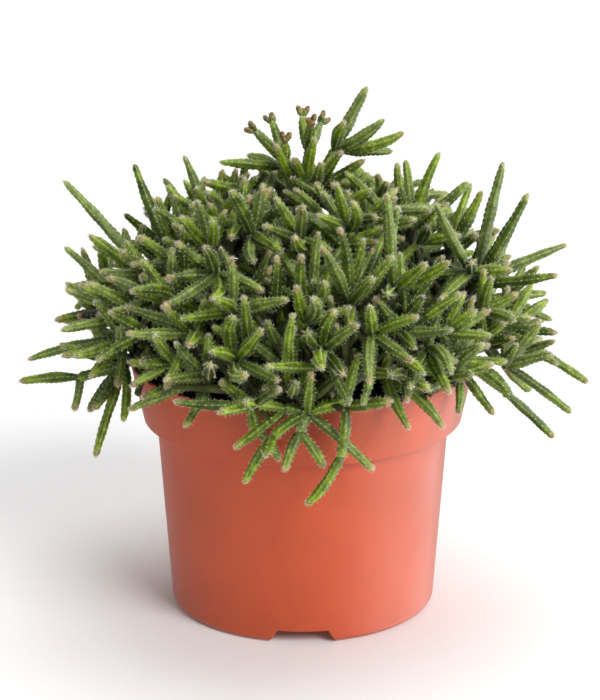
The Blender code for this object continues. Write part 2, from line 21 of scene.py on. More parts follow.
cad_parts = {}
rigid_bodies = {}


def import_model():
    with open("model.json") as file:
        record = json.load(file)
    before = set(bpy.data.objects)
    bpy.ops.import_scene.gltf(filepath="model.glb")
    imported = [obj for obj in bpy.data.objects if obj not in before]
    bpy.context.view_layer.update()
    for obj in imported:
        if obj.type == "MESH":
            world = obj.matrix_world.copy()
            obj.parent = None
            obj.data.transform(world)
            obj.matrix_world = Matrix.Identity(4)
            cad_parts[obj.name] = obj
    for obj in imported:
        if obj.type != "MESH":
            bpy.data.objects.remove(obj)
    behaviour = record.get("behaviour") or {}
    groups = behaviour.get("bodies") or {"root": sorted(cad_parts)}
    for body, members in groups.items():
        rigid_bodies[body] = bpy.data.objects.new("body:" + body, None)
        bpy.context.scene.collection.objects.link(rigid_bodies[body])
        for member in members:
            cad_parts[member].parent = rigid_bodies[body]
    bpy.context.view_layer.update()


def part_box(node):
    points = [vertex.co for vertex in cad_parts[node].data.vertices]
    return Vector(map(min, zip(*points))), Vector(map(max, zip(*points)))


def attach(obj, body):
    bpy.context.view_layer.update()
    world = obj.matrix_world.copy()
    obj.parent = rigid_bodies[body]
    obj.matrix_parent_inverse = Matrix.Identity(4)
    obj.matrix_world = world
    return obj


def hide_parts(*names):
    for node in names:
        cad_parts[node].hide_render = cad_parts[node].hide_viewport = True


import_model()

bl_info = {
    "name": "Potted mistletoe cactus",
    "version": (1, 0, 0),
    "blender": (4, 5, 0),
    "location": "3D View > Sidebar > Cactus",
    "description": "Models a bristly mistletoe cactus in a nursery pot, in a plain studio",
    "category": "Object",
}

MM = 0.001
BODY = "root"

# Pot, in millimetres. Edges that turn by more than one angle are rounded, and those that turn by less
# than the other are shaded smooth
POT_HEIGHT = round(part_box("pot")[1].z / MM, 1)
RIM_RADIUS = round(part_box("pot")[1].x / MM, 1)
COLLAR_FOOT_RADIUS = 55.7
COLLAR_FOOT_HEIGHT = 67.6
SHOULDER_RADIUS = 51.2
BASE_RADIUS = 46.5
BASE_ROUNDING = 2.6
WALL = 1.2
FOOT_RING_OUTSIDE = 44.9
FOOT_RING_INSIDE = 43.5
FLOOR_UNDERSIDE = 5.2
NOTCH_AZIMUTHS = (-90, 30, 150)
NOTCH_HEIGHT = 4.7
NOTCH_WIDTH_ABOVE = 17.3
NOTCH_WIDTH_BELOW = 23.0
NOTCH_REACH = 16.0
NOTCH_MIDDLE = BASE_RADIUS - 2
DRAIN_RADIUS = 3.2
DRAIN_CIRCLE = 30.0
DRAIN_COUNT = 6
DRAIN_SIDES = 24
EDGE_ROUNDING = 0.25
EDGE_STEPS = 2
ROUNDED_ANGLE = math.radians(50)
SMOOTH_ANGLE = math.radians(40)

# Soil, in millimetres: its lumps' sizes and heights, how its crumbs lie, how large the smallest is
# beside the setting and how much larger others are, how jagged they are and how flat
SOIL_TOP = 76.0
SOIL_BUMP = 0.9
GAP = 0.3
SOIL_SIDES = 120
SOIL_RINGS = 40
SOIL_LUMPS = ((7.0, 2.2), (2.2, 1.3))
CRUMB_KINDS = 4
CRUMB_MARGIN = 0.8
CRUMB_HEIGHTS = (0.35, 0.85)
SMALLEST_CRUMB = 0.3
CRUMB_SPREAD = 0.9
CRUMB_JAGGEDNESS = 0.14
CRUMB_FLATNESS = 0.7

# Plant, in millimetres
STEM_RADIUS = 2.15
STALK_RADIUS = 1.7
ROOT_DEPTH = 14.0
ROOT_SPACING = 8.6
ROOT_REACH = 45.0
CLEARANCE = 0.7
DOME_REACH = 93.0
DOME_BASE = 90.0
DOME_RISE = 66.0
FILL_LOWEST = 88.0
EXTRA_STEMS = 10
SEED = 13

# Finer stems between the solid ones, in millimetres
FINE_LENGTHS = (14, 28)
FINE_CLEARANCE = 0.25
FINE_RISE = 0.75
FINE_LOWEST = 95.0

# Tips that fill out some shoots, in millimetres. They grow from near the end of the shoot's stalk
JOINT_SHARE = 0.97
MORE_BEND = 2.0
MORE_TIPS = {
    "crown": ((-9, -12, 166), (4, -11, 168), (13, -9, 163), (21, -3, 159), (-3, -10, 161),
              (6, -17, 161)),
    "left_low": ((-62, -36, 89), (-71, -36, 92)),
    "left_trailer": ((-70, -36, 81), (-60, -40, 78)),
    "rim_left": ((-57, -52, 86),),
}

# Old stems in the heart of the bush, in millimetres: the share of the dome that they fill, how far
# up a stalk the lowest grow, how far above the soil they end and how many are tried for each
OLD_LENGTHS = (14, 32)
OLD_RADIUS = 1.75
OLD_REACH = 0.82
OLD_LOWEST = 0.35
OLD_RISE = 0.5
OLD_BEND = 3.0
OLD_HEIGHT = 4.0
OLD_TRIES = 20
OLD_RIBS = 3
OLD_STEPS = 1
STALK_STEPS = 4

# Stems that lie deeper than a share of the dome, measured near their ends, hardly show, and have
# their areoles further apart. A tip hangs that ends below its base by a share of its length
HIDDEN_REACH = 0.64
HIDDEN_PLACE = 0.8
HIDDEN_SPACING = 2.2
FEWEST_STEPS = 2
HANGING_DROP = 0.5

# Buds, in millimetres: the crown's tips on one side and above a height have three, and some tips
# within a share of the dome have two
BUDDING_SIDE = 10.0
BUDDING_HEIGHT = 162.0
BUDDING_CHANCE = 0.1
BUDDING_REACH = 0.7
CROWN_BUDS = 3
OTHER_BUDS = 2
BUD_RADIUS = 1.1
BUD_LENGTH = 5.0
BUD_SHARE = 0.3
BUD_SINK = 0.04
BUD_BEND = 0.4
BUD_LEANS = (0.3, 0.65)
BUD_LENGTHS = (0.7, 1.05)

# The one dry tip, how near a stem ends that is it, and how near in front of it a stem hides it
DRY_TIP = (-78, 0, 103)
DRY_REACH = (3, 12, 3)
DRY_SIGHT = 5.0
TOWARDS_CAMERA = (0.1, -0.96, 0.28)

# The unit stem, two units long: the radius and place of each ring on its round end, how near a
# height a point counts as there, how far ribs dip between areoles, how wide furrows are at the end
END_RINGS = ((0.93, 1.4), (0.68, 1.76), (0.3, 1.96))
LEVEL = 0.001
DIP = 0.86
END_FURROW = 0.92

# How a stem is laid: its twist, its round end's length beside its radius and its own length, where
# it is fullest, how its girth waves along it, how full it is, how its girth narrows towards its end,
# and how thick each kind is at its joint and at its end, as a share of its middle
TWIST = 0.5
ROUNDING = 0.95
LONGEST_ROUNDING = 0.3
FULLEST = 0.45
WAVE = 0.55
UNEVENNESS = 0.07
FULLNESS = 1.06
HANGING_FULLNESS = 0.87
NARROWING = 1.6
GIRTHS = {
    "tip": (0.5, 0.44),
    "hanging": (0.8, 0.72),
    "limb": (0.66, 0.88),
    "bud": (0.7, 0.7),
    "stalk": (0.92, 1.12),
    "old": (0.8, 0.6),
}

# Colour along a stem: how far down from its end ripe colour reaches and areoles have no wool, in
# millimetres, how ripe a tip may be, how ripe a bud is, and how much of the dark bark colour each kind
# takes: bark on the stalks, and painted shade on the old stems in the heart of the bush
RIPE_LENGTH = 3.6
BARE_END = 2.0
TIP_RIPENESS = 1.2
BUD_RIPENESS = 2.0
BARK_AND_SHADE_SHARES = {"stalk": 1.0, "old": 0.8}
STEM_VALUES = ("share", "crest", "areole", "tone", "bloom", "ripe", "bark", "dry", "end")

# Bristles: how deep they are rooted and how far down a stem those of its end reach, in millimetres,
# and how long the shortest and a hanging tip's are beside the others. Each pair is for bristles along
# a stem and those of its end: how many there are and how long, beside the settings, and how far they
# lean forwards and scatter
BRISTLE_ROOT = 0.12
BRISTLY_END = 3.5
SHORTEST_BRISTLE = 0.35
HANGING_BRISTLES = 0.78
BRISTLE_COUNTS = (1, 2)
BRISTLE_LEANS = (0.9, 3.0)
BRISTLE_SCATTERS = (0.55, 0.9)
BRISTLE_LENGTHS = (1.0, 1.25)
BRISTLE_VALUES = ("end", "tone")

# Camera: its lens and shift frame the plant as the photograph does, turned about a point on the
# plant's axis, in metres
CAMERA_LENS = 120.09
CAMERA_SHIFT = (-0.0039, -0.0369)
CAMERA_TARGET = 0.1

# Shoots that show from the front: the fork on top of the stalk, then each joint with the tips
# that stand out from it, in millimetres from the middle of the pot's foot
SHOOTS = {
    "crown": ((1, 5, 146), [
        ((-8, 5, 155), [(-28, -2, 158), (-19, 18, 156)]),
        ((-7, 3, 160), [(-20, -4, 173), (-12, 14, 173), (-6, -9, 170)]),
        ((2, 4, 161), [(0, 13, 176), (3, -12, 176), (8, 19, 171)]),
        ((11, 6, 161), [(22, 8, 182), (26, 3, 175), (34, 0, 170), (14, -10, 173), (26, -12, 167),
                        (31, 20, 157)]),
    ]),
    "front_base": ((1, -47, 90), [
        ((-4, -66, 95), [(-3, -82, 127)]),
        ((7, -64, 110), [(6, -96, 114), (17, -80, 123), (4, -84, 118), (11, -78, 124), (12, -86, 107),
                         (14, -82, 100)]),
    ]),
    "back_long": ((-3, 64, 100), [
        ((-4, 74, 98), [(-6, 96, 92), (8, 92, 104), (-18, 90, 100)]),
    ]),
    "upper_left": ((-33, 5, 134), [
        ((-33, 5, 134), [(-41, 12, 157), (-46, 3, 149), (-28, 14, 152)]),
    ]),
    "left_fan": ((-44, -2, 123), [
        ((-44, -2, 123), [(-58, 8, 155), (-49, -7, 147), (-49, 14, 150), (-56, -16, 134)]),
    ]),
    "left_high": ((-52, -4, 117), [
        ((-52, -4, 117), [(-82, 4, 150), (-73, -14, 136), (-72, 12, 128)]),
    ]),
    "left": ((-57, -8, 106), [
        ((-57, -8, 106), [(-82, 2, 127), (-80, -10, 116), (-81, -20, 110), (-78, 0, 103)]),
    ]),
    "left_low": ((-62, -20, 101), [
        ((-62, -20, 101), [(-95, -6, 89), (-81, -28, 97), (-77, -38, 100)]),
    ]),
    "left_trailer": ((-61, -22, 91), [
        ((-77, -14, 85), [(-98, -9, 82), (-79, -14, 73)]),
        ((-61, -22, 91), [(-70, -36, 64), (-73, -27, 77)]),
    ]),
    "rim_left": ((-30, -44, 95), [
        ((-30, -44, 95), [(-52, -58, 92), (-44, -52, 101), (-38, -66, 85)]),
    ]),
    "front_trailer": ((2, -66, 88), [
        ((-5, -64, 91), [(-22, -70, 79), (-16, -71, 94)]),
        ((2, -66, 88), [(23, -63, 69), (15, -73, 97), (6, -77, 110)]),
        ((-1, -67, 83), [(7, -66, 71), (-6, -67, 70)]),
        ((-9, -68, 80), [(-19, -64, 65), (-12, -78, 79)]),
    ]),
    "front_long": ((14, -65, 90), [
        ((11, -66, 75), [(-3, -63, 57)]),
    ]),
    "front_thin": ((-17, -64, 91), [
        ((-15, -65, 81), [(-8, -64, 70)]),
    ]),
    "rim_right": ((27, -48, 96), [
        ((27, -48, 96), [(34, -68, 85), (46, -64, 84), (48, -54, 92)]),
    ]),
    "right_trailer": ((52, -28, 94), [
        ((52, -28, 94), [(64, -36, 79), (52, -42, 82), (70, -16, 79)]),
        ((64, -24, 84), [(86, -22, 66)]),
    ]),
    "right_low": ((62, -12, 96), [
        ((70, -11, 89), [(93, -10, 71), (80, 2, 75)]),
        ((62, -12, 96), [(76, -28, 88)]),
    ]),
    "right": ((70, -10, 101), [
        ((70, -10, 101), [(99, -7, 81), (87, -14, 101), (86, -24, 93), (80, 4, 114), (83, -5, 111),
                          (68, -26, 92)]),
    ]),
    "right_high": ((60, -3, 116), [
        ((60, -3, 116), [(91, 2, 128), (86, -12, 121), (69, 7, 156), (77, -1, 145), (73, 14, 129)]),
    ]),
    "upper_right": ((38, 4, 134), [
        ((38, 4, 134), [(47, 8, 159), (33, 3, 157), (38, 14, 153), (57, 7, 149)]),
    ]),
    "right_fan": ((51, -2, 128), [
        ((51, -2, 128), [(59, 9, 149), (61, -3, 148), (46, -14, 142)]),
    ]),
    "front_left_high": ((-26, -22, 119), [
        ((-40, -30, 127), [(-54, -34, 140), (-48, -28, 139)]),
        ((-31, -32, 135), [(-39, -44, 149), (-29, -46, 148), (-36, -36, 150)]),
    ]),
    "front_left": ((-26, -30, 113), [
        ((-29, -44, 130), [(-31, -60, 143), (-41, -46, 141), (-44, -54, 131), (-42, -62, 127),
                           (-13, -58, 128), (-27, -66, 126)]),
        ((-43, -40, 120), [(-55, -54, 127), (-54, -60, 126)]),
    ]),
    "front_left_low": ((-21, -40, 96), [
        ((-37, -50, 111), [(-44, -58, 122), (-56, -62, 115), (-44, -66, 98), (-36, -72, 114)]),
        ((-22, -60, 105), [(-13, -78, 121), (-21, -80, 122), (-15, -88, 113), (-6, -84, 105),
                           (-29, -80, 114)]),
    ]),
    "front_star": ((-6, -22, 127), [
        ((-17, -30, 140), [(-23, -46, 158), (-13, -28, 156), (-21, -30, 153), (-7, -50, 139),
                           (-16, -50, 137)]),
        ((-1, -30, 138), [(0, -50, 154), (-4, -58, 147), (0, -62, 142), (-9, -34, 153)]),
    ]),
    "front_middle": ((-8, -40, 107), [
        ((-23, -54, 120), [(-5, -72, 129), (-28, -74, 130), (-24, -78, 125)]),
        ((1, -58, 118), [(-3, -74, 132), (0, -70, 141), (-6, -68, 138), (3, -76, 136), (1, -78, 134)]),
    ]),
    "front_right": ((16, -33, 110), [
        ((15, -50, 121), [(6, -60, 143), (10, -54, 148), (22, -72, 136), (27, -62, 139)]),
        ((30, -42, 124), [(27, -46, 157), (34, -42, 153), (39, -62, 138), (47, -54, 137),
                          (27, -66, 129)]),
    ]),
    "front_right_low": ((34, -38, 96), [
        ((22, -62, 115), [(34, -82, 112), (21, -76, 128), (36, -74, 124), (21, -86, 106),
                          (18, -80, 97)]),
        ((40, -52, 106), [(47, -68, 97), (48, -62, 102), (50, -54, 103), (34, -78, 102),
                          (43, -72, 91)]),
    ]),
    "front_right_high": ((26, -14, 120), [
        ((14, -24, 140), [(11, -32, 157), (5, -46, 150), (13, -48, 150), (23, -46, 147)]),
        ((58, -16, 123), [(44, -30, 150), (46, -44, 122), (40, -26, 149), (55, -42, 133)]),
    ]),
}

# Shoots behind and on top: how many, how far out their forks are, how high, the first and last
# azimuth, the limbs' lengths and how many tips each limb carries
RINGS = {
    "back_low": (5, 61, 99, 20, 160, (15, 21), 3),
    "back_middle": (4, 43, 120, 32, 148, (15, 21), 3),
    "top": (5, 22, 137, -20, 200, (9, 15), 3),
}


class Stem:
    """A stem between two joints: a curve with one bend, and a thickness."""

    def __init__(self, base, bend, tip, radius, kind, shoot):
        self.base = np.array(base, float)
        self.bend = np.array(bend, float)
        self.tip = np.array(tip, float)
        self.radius = radius
        self.kind = kind
        self.shoot = shoot
        self.children = 0

    def at(self, t):
        return (1 - t) ** 2 * self.base + 2 * t * (1 - t) * self.bend + t * t * self.tip

    def heading(self, t):
        return unit((1 - t) * (self.bend - self.base) + t * (self.tip - self.bend))

    def length(self):
        points = np.array([self.at(t) for t in (0, 0.25, 0.5, 0.75, 1)])
        return float(np.linalg.norm(np.diff(points, axis=0), axis=1).sum())

    def balls(self):
        """Points close together along the stem, and how far each is from its base."""
        length = self.length()
        count = max(3, int(length / 1.6))
        t = np.linspace(0, 1, count)[:, None]
        points = (1 - t) ** 2 * self.base + 2 * t * (1 - t) * self.bend + t * t * self.tip
        return points, t[:, 0] * length


class Thicket:
    """The stems that have grown, and the test that a new one is clear of them and of the pot."""

    def __init__(self):
        self.stems = []
        self.centres = np.zeros((0, 3))
        self.radii = np.zeros(0)
        self.owners = np.zeros(0, int)

    def add(self, stem, parent=None):
        points, _ = stem.balls()
        self.centres = np.vstack([self.centres, points])
        self.radii = np.append(self.radii, np.full(len(points), stem.radius))
        self.owners = np.append(self.owners, np.full(len(points), stem.shoot))
        self.stems.append(stem)
        if parent:
            parent.children += 1
        return stem

    def is_clear(self, stem, clearance=CLEARANCE, rooted=False, joint_length=6.5):
        """Stems of other shoots keep the clearance. Stems of one shoot meet only at their joint."""
        points, along = stem.balls()
        if not clear_of_pot(points, stem.radius, rooted):
            return False
        near = np.linalg.norm(self.centres - stem.at(0.5), axis=1) < 0.55 * stem.length() + 7
        centres = self.centres[near]
        reach = self.radii[near] + stem.radius
        own = self.owners[near] == stem.shoot
        gaps = np.linalg.norm(points[:, None] - centres[None], axis=2) - reach[None]
        others = gaps[:, ~own]
        if others.size and others.min() < clearance:
            return False
        siblings = gaps[along >= joint_length][:, own]
        return not (siblings.size and siblings.min() < 0.1)


def unit(vector):
    return vector / np.linalg.norm(vector)


def jitter(rng, x, y=None, z=None):
    sizes = (x, x if y is None else y, x if z is None else z)
    return np.array([rng.uniform(-1, 1) * size for size in sizes])


def pot_outside(z):
    """The pot's outer radius at a height."""
    collar = COLLAR_FOOT_RADIUS + (RIM_RADIUS - COLLAR_FOOT_RADIUS) * (
        (z - COLLAR_FOOT_HEIGHT) / (POT_HEIGHT - COLLAR_FOOT_HEIGHT))
    body = BASE_RADIUS + (SHOULDER_RADIUS - BASE_RADIUS) * z / COLLAR_FOOT_HEIGHT
    return np.where(z > COLLAR_FOOT_HEIGHT - 2, np.maximum(collar, COLLAR_FOOT_RADIUS), body)


def clear_of_pot(points, radius, rooted=False, clearance=CLEARANCE):
    out = np.hypot(points[:, 0], points[:, 1])
    z = points[:, 2]
    outside = out > pot_outside(z) + radius + clearance
    inside = out < pot_outside(z) - WALL - radius - clearance
    above = z > POT_HEIGHT + radius + clearance
    in_soil = (out < RIM_RADIUS) & (z < SOIL_TOP + SOIL_BUMP + radius + 1)
    return bool((outside | inside | above).all()) and (rooted or not in_soil.any())


def dome_share(point):
    """How far out a point lies: 0 in the heart of the bush and 1 on its dome."""
    rise = max(0.0, point[2] - DOME_BASE) / DOME_RISE
    return math.hypot(math.hypot(point[0], point[1]) / DOME_REACH, rise)


def plant_root(rng, roots, fork):
    """A place in the soil on the fork's side of the pot, clear of the other roots."""
    out = min(ROOT_REACH / 0.68, math.hypot(fork[0], fork[1]))
    azimuth = math.atan2(fork[1], fork[0])
    for attempt in range(400):
        radius = out * rng.uniform(0.68 - 0.0015 * attempt, 0.68)
        turn = azimuth + rng.uniform(-1, 1) * (0.05 + 0.004 * attempt + 0.02 * attempt / (radius + 2))
        place = np.array([radius * math.cos(turn), radius * math.sin(turn)])
        if all(np.linalg.norm(place - other) > ROOT_SPACING for other in roots):
            return place
    raise RuntimeError("no room in the soil for another root")


def raise_stalk(thicket, rng, roots, shoot, fork):
    """The old stem that carries a shoot. It arches over the rim where the fork hangs outside."""
    fork = np.array(fork, float)
    out = math.hypot(fork[0], fork[1])
    for attempt in range(300):
        root = plant_root(rng, roots, fork)
        base = np.array([root[0], root[1], SOIL_TOP - ROOT_DEPTH])
        if out > 50 and fork[2] < 100:
            bend = np.append(fork[:2] * (out - 8) / out, max(107.0, fork[2] + 19))
        else:
            bend = base * (0.72, 0.72, 0.35) + fork * (0.28, 0.28, 0.65)
        bend += jitter(rng, min(8.0, 0.15 * attempt))
        top = fork + jitter(rng, min(6.0, 0.04 * attempt))
        stalk = Stem(base, bend, top, STALK_RADIUS, "stalk", shoot)
        if thicket.is_clear(stalk, rooted=True):
            roots.append(root)
            return thicket.add(stalk)
    raise RuntimeError("no way up for stalk %d" % shoot)


def grow_to(thicket, rng, parent, target, radius, kind):
    """A stem to a target. Where that isn't clear, the target shifts, mostly in depth."""
    start = parent.at(0.97)
    for attempt in range(90):
        tip = np.array(target, float) + jitter(rng, 0.06, 0.14, 0.06) * attempt
        along = tip - start
        length = np.linalg.norm(along)
        bow = np.cross(along / length, unit(jitter(rng, 1))) * length * rng.uniform(0.02, 0.09)
        bow += jitter(rng, 0.08) * attempt
        bow[2] += 0.03 * length
        stem = Stem(start, start + 0.5 * along + bow, tip, radius, kind, parent.shoot)
        if thicket.is_clear(stem):
            return thicket.add(stem, parent)
    return None


def sprout(thicket, rng, parent, count, lengths, spread, kind="tip", clearance=CLEARANCE, rise=0.0,
           lowest=82.0):
    """A whorl of stems round the parent's end, turned evenly about it and leaning outwards."""
    joint = parent.at(0.97)
    heading = parent.heading(0.97)
    outwards = unit(np.array([joint[0], joint[1], 1.15 * max(0.0, joint[2] - 84) + 4]))
    turn = rng.uniform(0, 2 * math.pi)
    made = []
    for i in range(count):
        for attempt in range(30):
            axis = unit(0.45 * heading + 0.55 * outwards + jitter(rng, 0.04 * attempt) + (0, 0, rise))
            side = unit(np.cross(axis, (0.3, 0.2, 1.0)))
            azimuth = turn + 2 * math.pi * i / count + rng.uniform(-0.4, 0.4)
            across = side * math.cos(azimuth) + np.cross(axis, side) * math.sin(azimuth)
            lean = math.radians(rng.uniform(*spread))
            way = axis * math.cos(lean) + across * math.sin(lean)
            length = rng.uniform(*lengths)
            tip = joint + way * length
            bow = unit(np.cross(way, jitter(rng, 1))) * length * rng.uniform(0, 0.1)
            radius = STEM_RADIUS * rng.uniform(0.86, 1.04)
            stem = Stem(joint, joint + 0.5 * length * way + bow, tip, radius, kind, parent.shoot)
            in_bush = dome_share(tip) < 1 and tip[2] > lowest and np.dot(way, outwards) > 0.25
            if in_bush and thicket.is_clear(stem, clearance):
                made.append(thicket.add(stem, parent))
                break
    return made


def fill_in(thicket, rng, count, lengths, **growth):
    """More stems, from joints that have room left."""
    made = 0
    for _ in range(40 * count):
        parent = rng.choice(thicket.stems)
        crowded = parent.children > 4 or parent.length() < 9
        outermost = parent.kind == "tip" and dome_share(parent.tip) > 0.8
        if crowded or outermost or parent.tip[2] < FILL_LOWEST:
            continue
        made += len(sprout(thicket, rng, parent, 1, lengths, (22, 70), **growth))
        if made >= count:
            return


def grow_bush():
    """Every shoot's stalk first, then its limbs and tips, so that no stalk finds its way barred."""
    rng = random.Random(SEED)
    thicket = Thicket()
    roots = []
    names = list(SHOOTS)
    forks = [fork for fork, _ in SHOOTS.values()]
    plans = []
    for ring, (count, out, height, first, last, lengths, tips) in RINGS.items():
        for i in range(count):
            azimuth = math.radians(first + (last - first) * i / (count - 1))
            names.append("%s_%d" % (ring, i + 1))
            forks.append((out * math.cos(azimuth), out * math.sin(azimuth), height))
            plans.append((lengths, tips))
    stalks = [raise_stalk(thicket, rng, roots, shoot, fork) for shoot, fork in enumerate(forks)]
    for stalk, (fork, joints) in zip(stalks, SHOOTS.values()):
        for joint, tips in joints:
            limb = stalk
            if joint != fork:
                limb = grow_to(thicket, rng, stalk, joint, 0.92 * STEM_RADIUS, "limb") or stalk
            for tip in tips:
                grow_to(thicket, rng, limb, tip, STEM_RADIUS * rng.uniform(0.92, 1.04), "tip")
    for stalk, (lengths, tips) in zip(stalks[len(SHOOTS):], plans):
        for limb in sprout(thicket, rng, stalk, 4, lengths, (34, 64), "limb"):
            sprout(thicket, rng, limb, tips, (16, 26), (24, 54))
    fill_in(thicket, rng, EXTRA_STEMS, (16, 26))
    return names, thicket


def add_buds(thicket):
    """New growth: short nubs in place of a stem's end, on the crown's first tips and few others."""
    rng = random.Random(SEED + 3)
    for stem in list(thicket.stems):
        on_crown = stem.shoot == 0 and stem.tip[0] < BUDDING_SIDE and stem.tip[2] > BUDDING_HEIGHT
        inside = dome_share(stem.tip) < BUDDING_REACH and rng.random() < BUDDING_CHANCE
        if stem.kind != "tip" or stem.children or not (on_crown or inside):
            continue
        heading = stem.heading(1)
        side = unit(np.cross(heading, (0.3, 0.2, 1.0)))
        turn = rng.uniform(0, 2 * math.pi)
        reach = min(BUD_LENGTH, BUD_SHARE * stem.length())
        end = 1 - reach / stem.length()
        count = CROWN_BUDS if on_crown else OTHER_BUDS
        for i in range(count):
            azimuth = turn + 2 * math.pi * i / count
            across = side * math.cos(azimuth) + np.cross(heading, side) * math.sin(azimuth)
            way = unit(heading + across * rng.uniform(*BUD_LEANS))
            base = stem.at(end - BUD_SINK)
            tip = base + way * reach * rng.uniform(*BUD_LENGTHS)
            bend = 0.5 * (base + tip) + BUD_BEND * across
            thicket.stems.append(Stem(base, bend, tip, BUD_RADIUS, "bud", stem.shoot))
        stem.bend, stem.tip = stem.bend + (end - 1) * (stem.bend - stem.base), stem.at(end)


def uncover_dry_tip(thicket, first):
    """Takes away the fine stems, from the first on, that hide the dry tip from in front."""
    way = unit(np.array(TOWARDS_CAMERA))

    def hides(stem):
        points = stem.balls()[0] - DRY_TIP
        ahead = points @ way
        aside = np.linalg.norm(points - ahead[:, None] * way, axis=1)
        return bool(((ahead > 0) & (aside < DRY_SIGHT)).any())

    fine = [stem for stem in thicket.stems[first:] if stem.children or not hides(stem)]
    thicket.stems[first:] = fine


def fill_forks(names, thicket):
    """More stems from the forks on top of some shoots' stalks, in front of their limbs."""
    rng = random.Random(SEED + 5)
    stalks = {names[stem.shoot]: stem for stem in thicket.stems if stem.kind == "stalk"}
    for name, tips in MORE_TIPS.items():
        for target in tips:
            base = stalks[name].at(JOINT_SHARE)
            tip = np.array(target, float)
            bend = 0.5 * (base + tip) + jitter(rng, MORE_BEND)
            thicket.stems.append(Stem(base, bend, tip, STEM_RADIUS, "tip", stalks[name].shoot))


def fill_heart(thicket, count):
    """Old stems all through the heart of the bush, coloured dark as painted shade where little light
    comes.
    """
    rng = random.Random(SEED + 4)
    stalks = [stem for stem in thicket.stems if stem.kind == "stalk"]
    made = 0
    for _ in range(OLD_TRIES * count):
        stalk = rng.choice(stalks)
        base = stalk.at(rng.uniform(OLD_LOWEST, 1))
        way = unit(jitter(rng, 1) + (0, 0, OLD_RISE))
        tip = base + way * rng.uniform(*OLD_LENGTHS)
        bend = 0.5 * (base + tip) + jitter(rng, OLD_BEND)
        stem = Stem(base, bend, tip, OLD_RADIUS, "old", stalk.shoot)
        in_bush = dome_share(tip) < OLD_REACH and tip[2] > SOIL_TOP + OLD_HEIGHT
        if in_bush and clear_of_pot(stem.balls()[0], OLD_RADIUS):
            thicket.stems.append(stem)
            made += 1
        if made >= count:
            return


@functools.lru_cache(maxsize=None)
def grown(infill, heart):
    """The whole bush, grown once: the shoots' names and their stems."""
    names, thicket = grow_bush()
    first = len(thicket.stems)
    fill_in(thicket, random.Random(SEED + 2), infill, FINE_LENGTHS, clearance=FINE_CLEARANCE,
            rise=FINE_RISE, lowest=FINE_LOWEST)
    uncover_dry_tip(thicket, first)
    fill_heart(thicket, heart)
    add_buds(thicket)
    fill_forks(names, thicket)
    return names, thicket.stems


class Pattern:
    """A shape to copy: its points, the corners of its faces and where each face's corners start."""

    def __init__(self, points, corners, starts):
        self.points = points
        self.corners = corners
        self.starts = starts

    def times(self, count):
        """The faces of many copies, whose points follow one another."""
        corners = self.corners + len(self.points) * np.arange(count)[:, None]
        starts = self.starts + len(self.corners) * np.arange(count)[:, None]
        return Pattern(None, corners.ravel(), starts.ravel())


def pattern_of(thing):
    """The pattern of a modelled object, which then goes."""
    mesh = thing.data
    made = Pattern(read(mesh.vertices, "co", 3), read(mesh.loops, "vertex_index", 1, np.int32),
                   read(mesh.polygons, "loop_start", 1, np.int32))
    bpy.data.objects.remove(thing, do_unlink=True)
    return made


def read(items, name, width, kind=float):
    values = np.zeros(len(items) * width, kind)
    items.foreach_get(name, values)
    return values.reshape(-1, width) if width > 1 else values


def fused(name, copies, attributes=()):
    """One object from many copies, each a pattern, its own points and the values they carry."""
    mesh = bpy.data.meshes.new(name)
    counts = [len(points) for _, points, _ in copies]
    first = np.concatenate([[0], np.cumsum(counts)[:-1]])
    corner_counts = [len(pattern.corners) for pattern, _, _ in copies]
    first_corner = np.concatenate([[0], np.cumsum(corner_counts)[:-1]])
    corners = np.concatenate([pattern.corners + at for (pattern, _, _), at in zip(copies, first)])
    starts = np.concatenate([pattern.starts + at for (pattern, _, _), at in zip(copies, first_corner)])
    mesh.vertices.add(sum(counts))
    mesh.vertices.foreach_set("co", np.concatenate([points for _, points, _ in copies]).ravel() * MM)
    mesh.loops.add(len(corners))
    mesh.loops.foreach_set("vertex_index", corners)
    mesh.polygons.add(len(starts))
    mesh.polygons.foreach_set("loop_start", starts)
    mesh.update(calc_edges=True)
    for attribute in attributes:
        values = np.concatenate([carried[attribute] for _, _, carried in copies])
        mesh.attributes.new(attribute, "FLOAT", "POINT").data.foreach_set("value", values)
    mesh.shade_smooth()
    made = bpy.data.objects.new(name, mesh)
    bpy.context.scene.collection.objects.link(made)
    return made


def added(primitive, **settings):
    """A new primitive, with its place in its mesh."""
    primitive(**settings)
    bpy.ops.object.transform_apply(location=True)
    return bpy.context.object


def select_only(thing):
    bpy.ops.object.select_all(action="DESELECT")
    thing.select_set(True)
    bpy.context.view_layer.objects.active = thing


def modify(thing, kind, **settings):
    """Gives an object a modifier with its settings, and applies it."""
    select_only(thing)
    step = thing.modifiers.new(kind.lower(), kind)
    for name, value in settings.items():
        setattr(step, name, value)
    bpy.ops.object.modifier_apply(modifier=step.name)


@contextlib.contextmanager
def editing(thing):
    """Edit mode on one object alone."""
    select_only(thing)
    bpy.ops.object.mode_set(mode="EDIT")
    yield
    bpy.ops.object.mode_set(mode="OBJECT")
    thing.select_set(False)


def pick(kind, test):
    """In edit mode, selects the vertices, edges or faces that pass a test, and nothing else."""
    bpy.ops.mesh.select_mode(type=kind)
    bpy.ops.mesh.select_all(action="DESELECT")
    shape = bmesh.from_edit_mesh(bpy.context.edit_object.data)
    for item in {"VERT": shape.verts, "EDGE": shape.edges, "FACE": shape.faces}[kind]:
        if test(item):
            item.select_set(True)
    shape.select_flush_mode()
    bmesh.update_edit_mesh(bpy.context.edit_object.data)


def resize(x, y, z=1.0):
    """Resizes what is selected about the middle of the pot's foot."""
    bpy.ops.transform.resize(value=(x, y, z), center_override=(0, 0, 0))


def face_outwards():
    bpy.ops.mesh.select_all(action="SELECT")
    bpy.ops.mesh.normals_make_consistent(inside=False)


